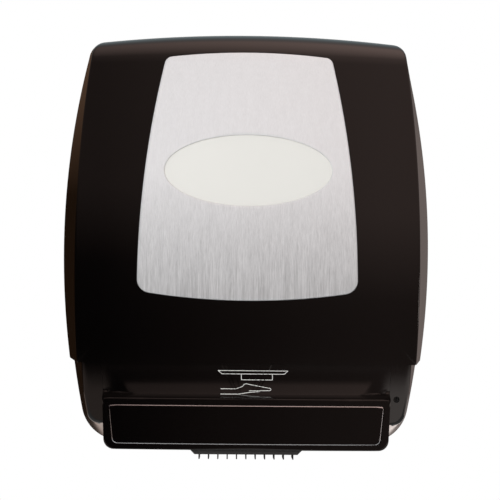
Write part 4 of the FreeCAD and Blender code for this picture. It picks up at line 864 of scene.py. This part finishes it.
def make_lens():
    """Clear sheet behind the oval, on the cover's ledge."""
    def edge(line):
        return window_gap(*xz(line), LENS_LIP)

    front = cover_skin(PANEL_SKIN + TUCK, pole, 40, ends=edge)
    back = cover_skin(PANEL_SKIN + LENS_SHEET - TUCK, pole, 40, ends=edge)
    lens = sheet_piece("window_sheet", front, back)
    dress(lens, "clear_lens", "cover")
    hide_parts("window_lens")


# Chin and nose: sections about a level axis through the middle of the nose

CHIN_CENTRE = np.array([0.0, -60.0, -145.0])
NOSE_CENTRE = np.array([0.0, -150.0, -145.0])
OPENING_BACK = NOSE_BACK - 1
SIDE_REACH = 130.0


def back_corner_angle():
    """Direction of the opening's rear corner in the chin's floor."""
    floor = BOTTOM_Z + STEP_IN + DRAFT * OPENING_BACK
    return math.atan2(floor - CHIN_CENTRE[2], NOSE_HALF_BOTTOM + NOSE_GAP)


def make_chin():
    """Lower shell under the seam, with an opening for the nose and a bore for the lock."""
    top_corner = math.atan2(NOSE_TOP - CHIN_CENTRE[2], NOSE_HALF_TOP)
    rear = back_corner_angle()
    angles = angle_set(540 // ROUGH, top_corner, math.pi - top_corner, rear, math.pi - rear)

    def opening(line):
        x, y, z = line[..., 0], line[..., 1], line[..., 2]
        return np.maximum.reduce([nose_sides_gap(x, z, NOSE_GAP), z - NOSE_TOP - NOSE_GAP, y + OPENING_BACK])

    def back(line):
        return np.maximum(line[..., 1], line[..., 2] - SEAM_Z - RIM)

    def chin_skin(inset, count, width):
        return skin(lambda p: form_gap(p, inset), CHIN_CENTRE, angles, opening, back, count, width)

    outer = chin_skin(STEP_IN, 70, CHIN_ROUND)
    inner = chin_skin(STEP_IN + WALL, 40, INNER_ROUND)[:, ::-1]
    chin = ring_piece("chin_shell", [outer, inner])
    cut_away(chin, [rod_shape((LOCK_X, -FRONT_DEPTH, LOCK_Z), (LOCK_X, -LOCK_END, LOCK_Z), LOCK_BORE)])
    dress(chin, "satin_black", "root")
    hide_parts("lower_housing")


def make_nose():
    """Hollow block with a frame for the plate, the towel's slot and two holes for the sensor's lenses."""
    corner = math.atan2(NOSE_TOP - NOSE_CENTRE[2], NOSE_HALF_TOP)
    neck = math.atan2(NECK_LOW - NOSE_CENTRE[2], NOSE_HALF_TOP)
    angles = angle_set(640 // ROUGH, corner, math.pi - corner, neck, math.pi - neck)
    width = EDGE_ROUND * smooth_step((NOSE_BROW - NOSE_CENTRE[2] - SIDE_REACH * np.sin(angles)) / EDGE_FADE)

    def back(line):
        return line[..., 1] + np.where(line[..., 2] > NECK_LOW, NOSE_NECK, NOSE_BACK)

    def nose_skin(inset, begins, count, width=0.0, ends=back):
        return skin(lambda p: nose_gap(p, inset), NOSE_CENTRE, angles, begins, ends, count, width)

    outer = nose_skin(0.0, lambda p: badge_gap(*xz(p), BADGE_GAP), 70, width)
    inner = nose_skin(NOSE_WALL, lambda p: badge_gap(*xz(p), -BADGE_LEDGE), 30)[:, ::-1]
    ledge = nose_skin(BADGE_SHEET + NOSE_GAP, lambda p: badge_gap(*xz(p), -BADGE_LEDGE), 5,
                      ends=lambda p: badge_gap(*xz(p), BADGE_GAP))
    nose = ring_piece("nose_shell", [outer, inner, ledge])
    floor = NOSE_BOTTOM - CUT_PAST, NOSE_BOTTOM + NOSE_WALL + CUT_PAST
    cut_away(nose, [box_shape((-SLOT_HALF, -SLOT_FRONT, floor[0]), (SLOT_HALF, -SLOT_BACK, floor[1]))] + [
        rod_shape((x, -SENSOR_DEPTH, floor[0]), (x, -SENSOR_DEPTH, floor[1]), SENSOR_RADIUS)
        for x in (-SENSOR_X, SENSOR_X)
    ])
    dress(nose, "satin_black", "root")
    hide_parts("outlet_nose")


def plate_gap(points, inset):
    """The badge's slab, cut back by inset from the nose's upright front."""
    x, y, z = points[..., 0], points[..., 1], points[..., 2]
    front = -y - nose_depth(x, np.minimum(z, NOSE_BROW - BROW_CLEAR)) + inset
    return np.maximum(front, badge_gap(x, z, BADGE_OVER))


def plate_skin(inset, angles, begins, ends, count):
    return skin(lambda p: plate_gap(p, inset), BADGE_CENTRE, angles, begins, ends, count)


def make_badge():
    """Dark plate in the nose's front, with a bevel round its edge dressed in light steel: a painted
    highlight standing in for the gloss on the black edge.
    """
    angles = angle_set(480 // ROUGH)
    front = plate_skin(0.0, angles, pole, lambda p: badge_gap(*xz(p), -BADGE_BEVEL), 40)
    foot = plate_skin(BADGE_FALL, angles, pole, lambda p: badge_gap(*xz(p), -TUCK), 12)[:, -1:]
    back = plate_skin(BADGE_SHEET, angles, pole, lambda p: badge_gap(*xz(p), -TUCK), 12)
    inner = plate_skin(BADGE_SHEET, angles, pole, lambda p: badge_gap(*xz(p), -BADGE_BEVEL), 12)
    badge = sheet_piece("badge_plate", front, inner)
    dress(badge, "gloss_black", "root")
    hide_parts("nose_window")
    # The rim gets light steel instead of black plastic so that it shows as a bright line: painted highlight.
    painted_highlight_rim = ring_piece("badge_rim_painted_highlight", [front[:, -1:], foot, back[:, -1:], inner[:, -1:]], sharp=20.0)
    dress(painted_highlight_rim, "spring_steel", "root")


def make_lugs():
    """Two eyes under the cover's top that turn on the hinge pins."""
    turn = np.linspace(0, 2 * math.pi, ROUND_SIDES, endpoint=False)
    sag = (LUG_INSIDE + LUG_WIDTH) ** 2 / (2 * TOP_RADIUS)
    roof = TOP_Z - sag - WALL - DRAFT * HINGE_DEPTH - HINGE_Z
    eye = np.stack([EYE_RADIUS * np.cos(turn), EYE_RADIUS * np.sin(turn)], -1)
    above = eye[:, 1] > 0
    eye[above] = np.stack([
        EYE_RADIUS * np.sign(eye[above, 0]) * np.minimum(1, 2 * np.abs(np.cos(turn[above]))),
        np.minimum(roof, eye[above, 1] * 2 * roof / EYE_RADIUS),
    ], -1)
    bore = np.stack([PIN_RADIUS * np.cos(turn), PIN_RADIUS * np.sin(turn)], -1)
    for name, side in (("left", -1), ("right", 1)):
        near, far = side * LUG_INSIDE, side * (LUG_INSIDE + LUG_WIDTH)
        rings = []
        for x, outline in ((near, eye), (far, eye), (far, bore), (near, bore)):
            place = np.array([x, -HINGE_DEPTH, HINGE_Z])
            rings.append((place + np.insert(outline, 0, 0.0, axis=1))[:, None])
        lug = ring_piece("cover_lug_" + name, rings)
        dress(lug, "gloss_black", "cover")


def slope_point(x, z):
    """A point just proud of the nose's slope."""
    return (x, -nose_depth(np.array(x), np.array(z)) - INK, z)


def ink_line(points):
    """A thin raised line of ink along points (x, z) on the nose's slope: its corner points and faces."""
    corners, faces = [], []
    short = [points[0]]
    for (ax, az), (bx, bz) in zip(points, points[1:]):
        count = math.ceil(math.hypot(bx - ax, bz - az) / INK_STEP)
        short += [(ax + (bx - ax) * i / count, az + (bz - az) * i / count) for i in range(1, count + 1)]
    for (ax, az), (bx, bz) in zip(short, short[1:]):
        long = math.hypot(bx - ax, bz - az)
        px, pz = (az - bz) / long * LINE_HALF, (bx - ax) / long * LINE_HALF
        base = len(corners)
        flat = [(ax + px, az + pz), (bx + px, bz + pz), (bx - px, bz - pz), (ax - px, az - pz)]
        top = [slope_point(x, z) for x, z in flat]
        corners += top + [(x, y + 2 * INK, z) for x, y, z in top]
        ring = [base, base + 1, base + 2, base + 3]
        faces += [tuple(ring), tuple(index + 4 for index in ring[::-1])]
        faces += [(base + (i + 1) % 4, base + i, base + i + 4, base + (i + 1) % 4 + 4) for i in range(4)]
    return corners, faces


def arc_points(cx, cz, radius, start, end, count=9):
    turn = np.radians(np.linspace(start, end, count))
    return [(cx + radius * math.cos(angle), cz + radius * math.sin(angle)) for angle in turn]


def make_pictogram():
    """Generic drawing on the slope: an outlet, a sheet hanging from it and an open hand below."""
    left, right = PICTURE_X - PICTURE_HALF, PICTURE_X + PICTURE_HALF
    sheet_left, sheet_right = PICTURE_X - 9.0, PICTURE_X + 15.0
    top, hem, palm = NOSE_TOP - 5.0, NOSE_TOP - 12.0, NOSE_TOP - 20.0
    lip = top - 2.5
    lines = [
        [(left, top), (right, top), (right - 3, lip), (left + 3, lip), (left, top)],
        [(sheet_left, lip), (sheet_left, hem), (sheet_right, hem), (sheet_right, lip)],
        [(left + 2, palm + 1), (left + 14, palm + 1)] + arc_points(left + 22, palm + 2, 3.0, 160, 60)
        + [(left + 40, palm + 1.6)] + arc_points(left + 40, palm + 0.7, 0.9, 80, -90, 5)
        + [(left + 24, palm - 0.4)],
        [(left + 2, palm - 3), (left + 16, palm - 3), (left + 24, palm - 1.6), (left + 32, palm - 1.0)],
    ]
    corners, faces = [], []
    for line in lines:
        more_corners, more_faces = ink_line(line)
        faces += [tuple(index + len(corners) for index in face) for face in more_faces]
        corners += more_corners
    picture = new_piece("hand_pictogram", corners, faces)
    dress(picture, "white_acetal", "root")


make_cover()
make_lugs()
make_fascia()
make_lens()
make_chin()
make_nose()
make_badge()
make_pictogram()


# Camera

PHOTO_SIZE = 500.0
FOCAL_PX = 2227.0
SENSOR_MM = 36.0
CAMERA_AT = Vector((-0.0113, -1.942, -0.0722))
TILT_UP = 1.80
TURN_RIGHT = 0.436
ROLL = 0.506


def make_camera():
    data = bpy.data.cameras.new("camera")
    data.sensor_width = SENSOR_MM
    data.lens = SENSOR_MM * FOCAL_PX / PHOTO_SIZE
    camera = bpy.data.objects.new("camera", data)
    turn = Matrix.Rotation(math.radians(-TURN_RIGHT), 4, "Z")
    lift = Matrix.Rotation(math.radians(90 + TILT_UP), 4, "X")
    roll = Matrix.Rotation(math.radians(ROLL), 4, "Z")
    camera.matrix_world = Matrix.Translation(CAMERA_AT) @ turn @ lift @ roll
    bpy.context.scene.collection.objects.link(camera)
    bpy.context.scene.camera = camera


# Light

SOFT_LIGHT = 0.42


def area_light(name, place, aim, wide, high, power, colour=(1, 1, 1), mirrored=True):
    data = bpy.data.lights.new(name, "AREA")
    data.shape = "RECTANGLE"
    data.size = wide
    data.size_y = high
    data.energy = power
    data.color = colour
    lamp = bpy.data.objects.new(name, data)
    lamp.location = place
    way = Vector(aim) - Vector(place)
    lamp.rotation_mode = "QUATERNION"
    lamp.rotation_quaternion = way.to_track_quat("-Z", "Y")
    lamp.visible_glossy = mirrored
    bpy.context.scene.collection.objects.link(lamp)


def ramp(tree, factor, stops):
    """Colours at places along a factor, blended between them."""
    node = add(tree, "ShaderNodeValToRGB")
    for place, _ in stops[2:]:
        node.color_ramp.elements.new(place)
    for element, (place, colour) in zip(node.color_ramp.elements, stops):
        element.position = place
        element.color = (*colour, 1)
    tree.links.new(factor, node.inputs["Fac"])
    return node.outputs["Color"]


def warm(level):
    return (level, level * 0.72, level * 0.64)


def studio_room(tree):
    """What gloss sees: a dim warm room, brighter high up and to the right, with a pale ground below."""
    place = add(tree, "ShaderNodeTexCoord")
    parts = add(tree, "ShaderNodeSeparateXYZ")
    tree.links.new(place.outputs["Generated"], parts.inputs["Vector"])
    side, depth, height = parts.outputs["X"], parts.outputs["Y"], parts.outputs["Z"]
    rightwards = spread(tree, side, 0.0, 1.0, -0.27, 0.27)
    left_front = ramp(tree, height, [
        (0.0, warm(0.0)), (0.14, warm(0.01)), (0.30, warm(0.20)), (0.60, warm(0.22)), (0.86, warm(0.32)),
        (1.0, warm(0.8))])
    right_front = ramp(tree, height, [
        (0.0, warm(0.17)), (0.06, warm(0.19)), (0.24, warm(0.55)), (0.60, warm(0.62)), (0.86, warm(0.90)),
        (1.0, warm(1.8))])
    front = blend_colours(tree, rightwards, left_front, right_front)
    left_rise = spread(tree, height, 0.0, 1.0, 0.06, 0.17)
    left_wall = tint(tree, left_rise, (0.012, 0.006, 0.003), (0.14, 0.08, 0.05))
    right_rise = spread(tree, height, 0.0, 1.0, 0.08, 0.17)
    right_wall = tint(tree, right_rise, (0.16, 0.13, 0.12), (0.07, 0.063, 0.058))
    from_right = spread(tree, side, 0.0, 1.0, -0.1, 0.1)
    behind = blend_colours(tree, from_right, left_wall, right_wall)
    sky = tint(tree, height, (0.40, 0.46, 0.48), (0.42, 0.48, 0.50))
    behind = blend_colours(tree, spread(tree, height, 0.0, 1.0, 0.26, 0.32), behind, sky)
    walls = blend_colours(tree, spread(tree, depth, 0.0, 1.0, 0.3, 0.7), front, behind)
    ground = tint(tree, from_right, (0.42, 0.33, 0.29), (1.1, 0.98, 0.92))
    return blend_colours(tree, spread(tree, height, 1.0, 0.0, -0.135, -0.10), walls, ground)


def blend_colours(tree, factor, first, second):
    node = add(tree, "ShaderNodeMix", data_type="RGBA")
    tree.links.new(factor, node.inputs["Factor"])
    tree.links.new(first, node.inputs["A"])
    tree.links.new(second, node.inputs["B"])
    return node.outputs["Result"]


def make_world():
    """White to the camera and through glass, a dim room to gloss, and an even soft light to the rest."""
    world = bpy.data.worlds.new("studio")
    bpy.context.scene.world = world
    world.use_nodes = True
    tree = world.node_tree
    tree.nodes.clear()
    rays = add(tree, "ShaderNodeLightPath")
    room = add(tree, "ShaderNodeBackground", Strength=1.0)
    tree.links.new(studio_room(tree), room.inputs["Color"])
    soft = add(tree, "ShaderNodeBackground", Strength=SOFT_LIGHT)
    soft.inputs["Color"].default_value = (1, 1, 1, 1)
    white = add(tree, "ShaderNodeBackground", Strength=1.0)
    white.inputs["Color"].default_value = (1, 1, 1, 1)
    glossy = add(tree, "ShaderNodeMixShader")
    tree.links.new(rays.outputs["Is Glossy Ray"], glossy.inputs[0])
    tree.links.new(soft.outputs[0], glossy.inputs[1])
    tree.links.new(room.outputs[0], glossy.inputs[2])
    seen = add(tree, "ShaderNodeMath", operation="MAXIMUM")
    tree.links.new(rays.outputs["Is Camera Ray"], seen.inputs[0])
    tree.links.new(rays.outputs["Is Transmission Ray"], seen.inputs[1])
    final = add(tree, "ShaderNodeMixShader")
    tree.links.new(seen.outputs[0], final.inputs[0])
    tree.links.new(glossy.outputs[0], final.inputs[1])
    tree.links.new(white.outputs[0], final.inputs[2])
    output = add(tree, "ShaderNodeOutputWorld")
    tree.links.new(final.outputs[0], output.inputs["Surface"])


def make_floor():
    """Pale floor under the wall-mounted dispenser, at its real mounting height."""
    size, height = 4.0, -1.3
    mesh = bpy.data.meshes.new("floor")
    corners = [(-size, -size, height), (size, -size, height), (size, size, height), (-size, size, height)]
    mesh.from_pydata(corners, [], [(0, 1, 2, 3)])
    floor = bpy.data.objects.new("floor", mesh)
    made, tree, shader = material("floor")
    grain = noise(tree, object_place(tree), 3.0)
    tree.links.new(tint(tree, grain, (0.80, 0.80, 0.79), (0.84, 0.84, 0.83)), shader.inputs["Base Color"])
    shader.inputs["Roughness"].default_value = 0.8
    mesh.materials.append(made)
    bpy.context.scene.collection.objects.link(floor)


make_camera()
make_world()
make_floor()
area_light("key", place=(0.0, -2.7, 1.30), aim=(0, -0.1, 0.0), wide=0.95, high=0.95, power=13,
           mirrored=False)
area_light("front_fill", place=(-0.8, -2.2, 0.6), aim=(0, -0.1, 0), wide=1.2, high=1.2, power=26,
           mirrored=False)
area_light("right_strip", place=(1.45, -0.3, -0.03), aim=(0.14, -0.1, -0.03), wide=0.16, high=0.14,
           power=0.7, colour=(1.0, 0.9, 0.84))

scene = bpy.context.scene
scene.view_settings.view_transform = "Standard"
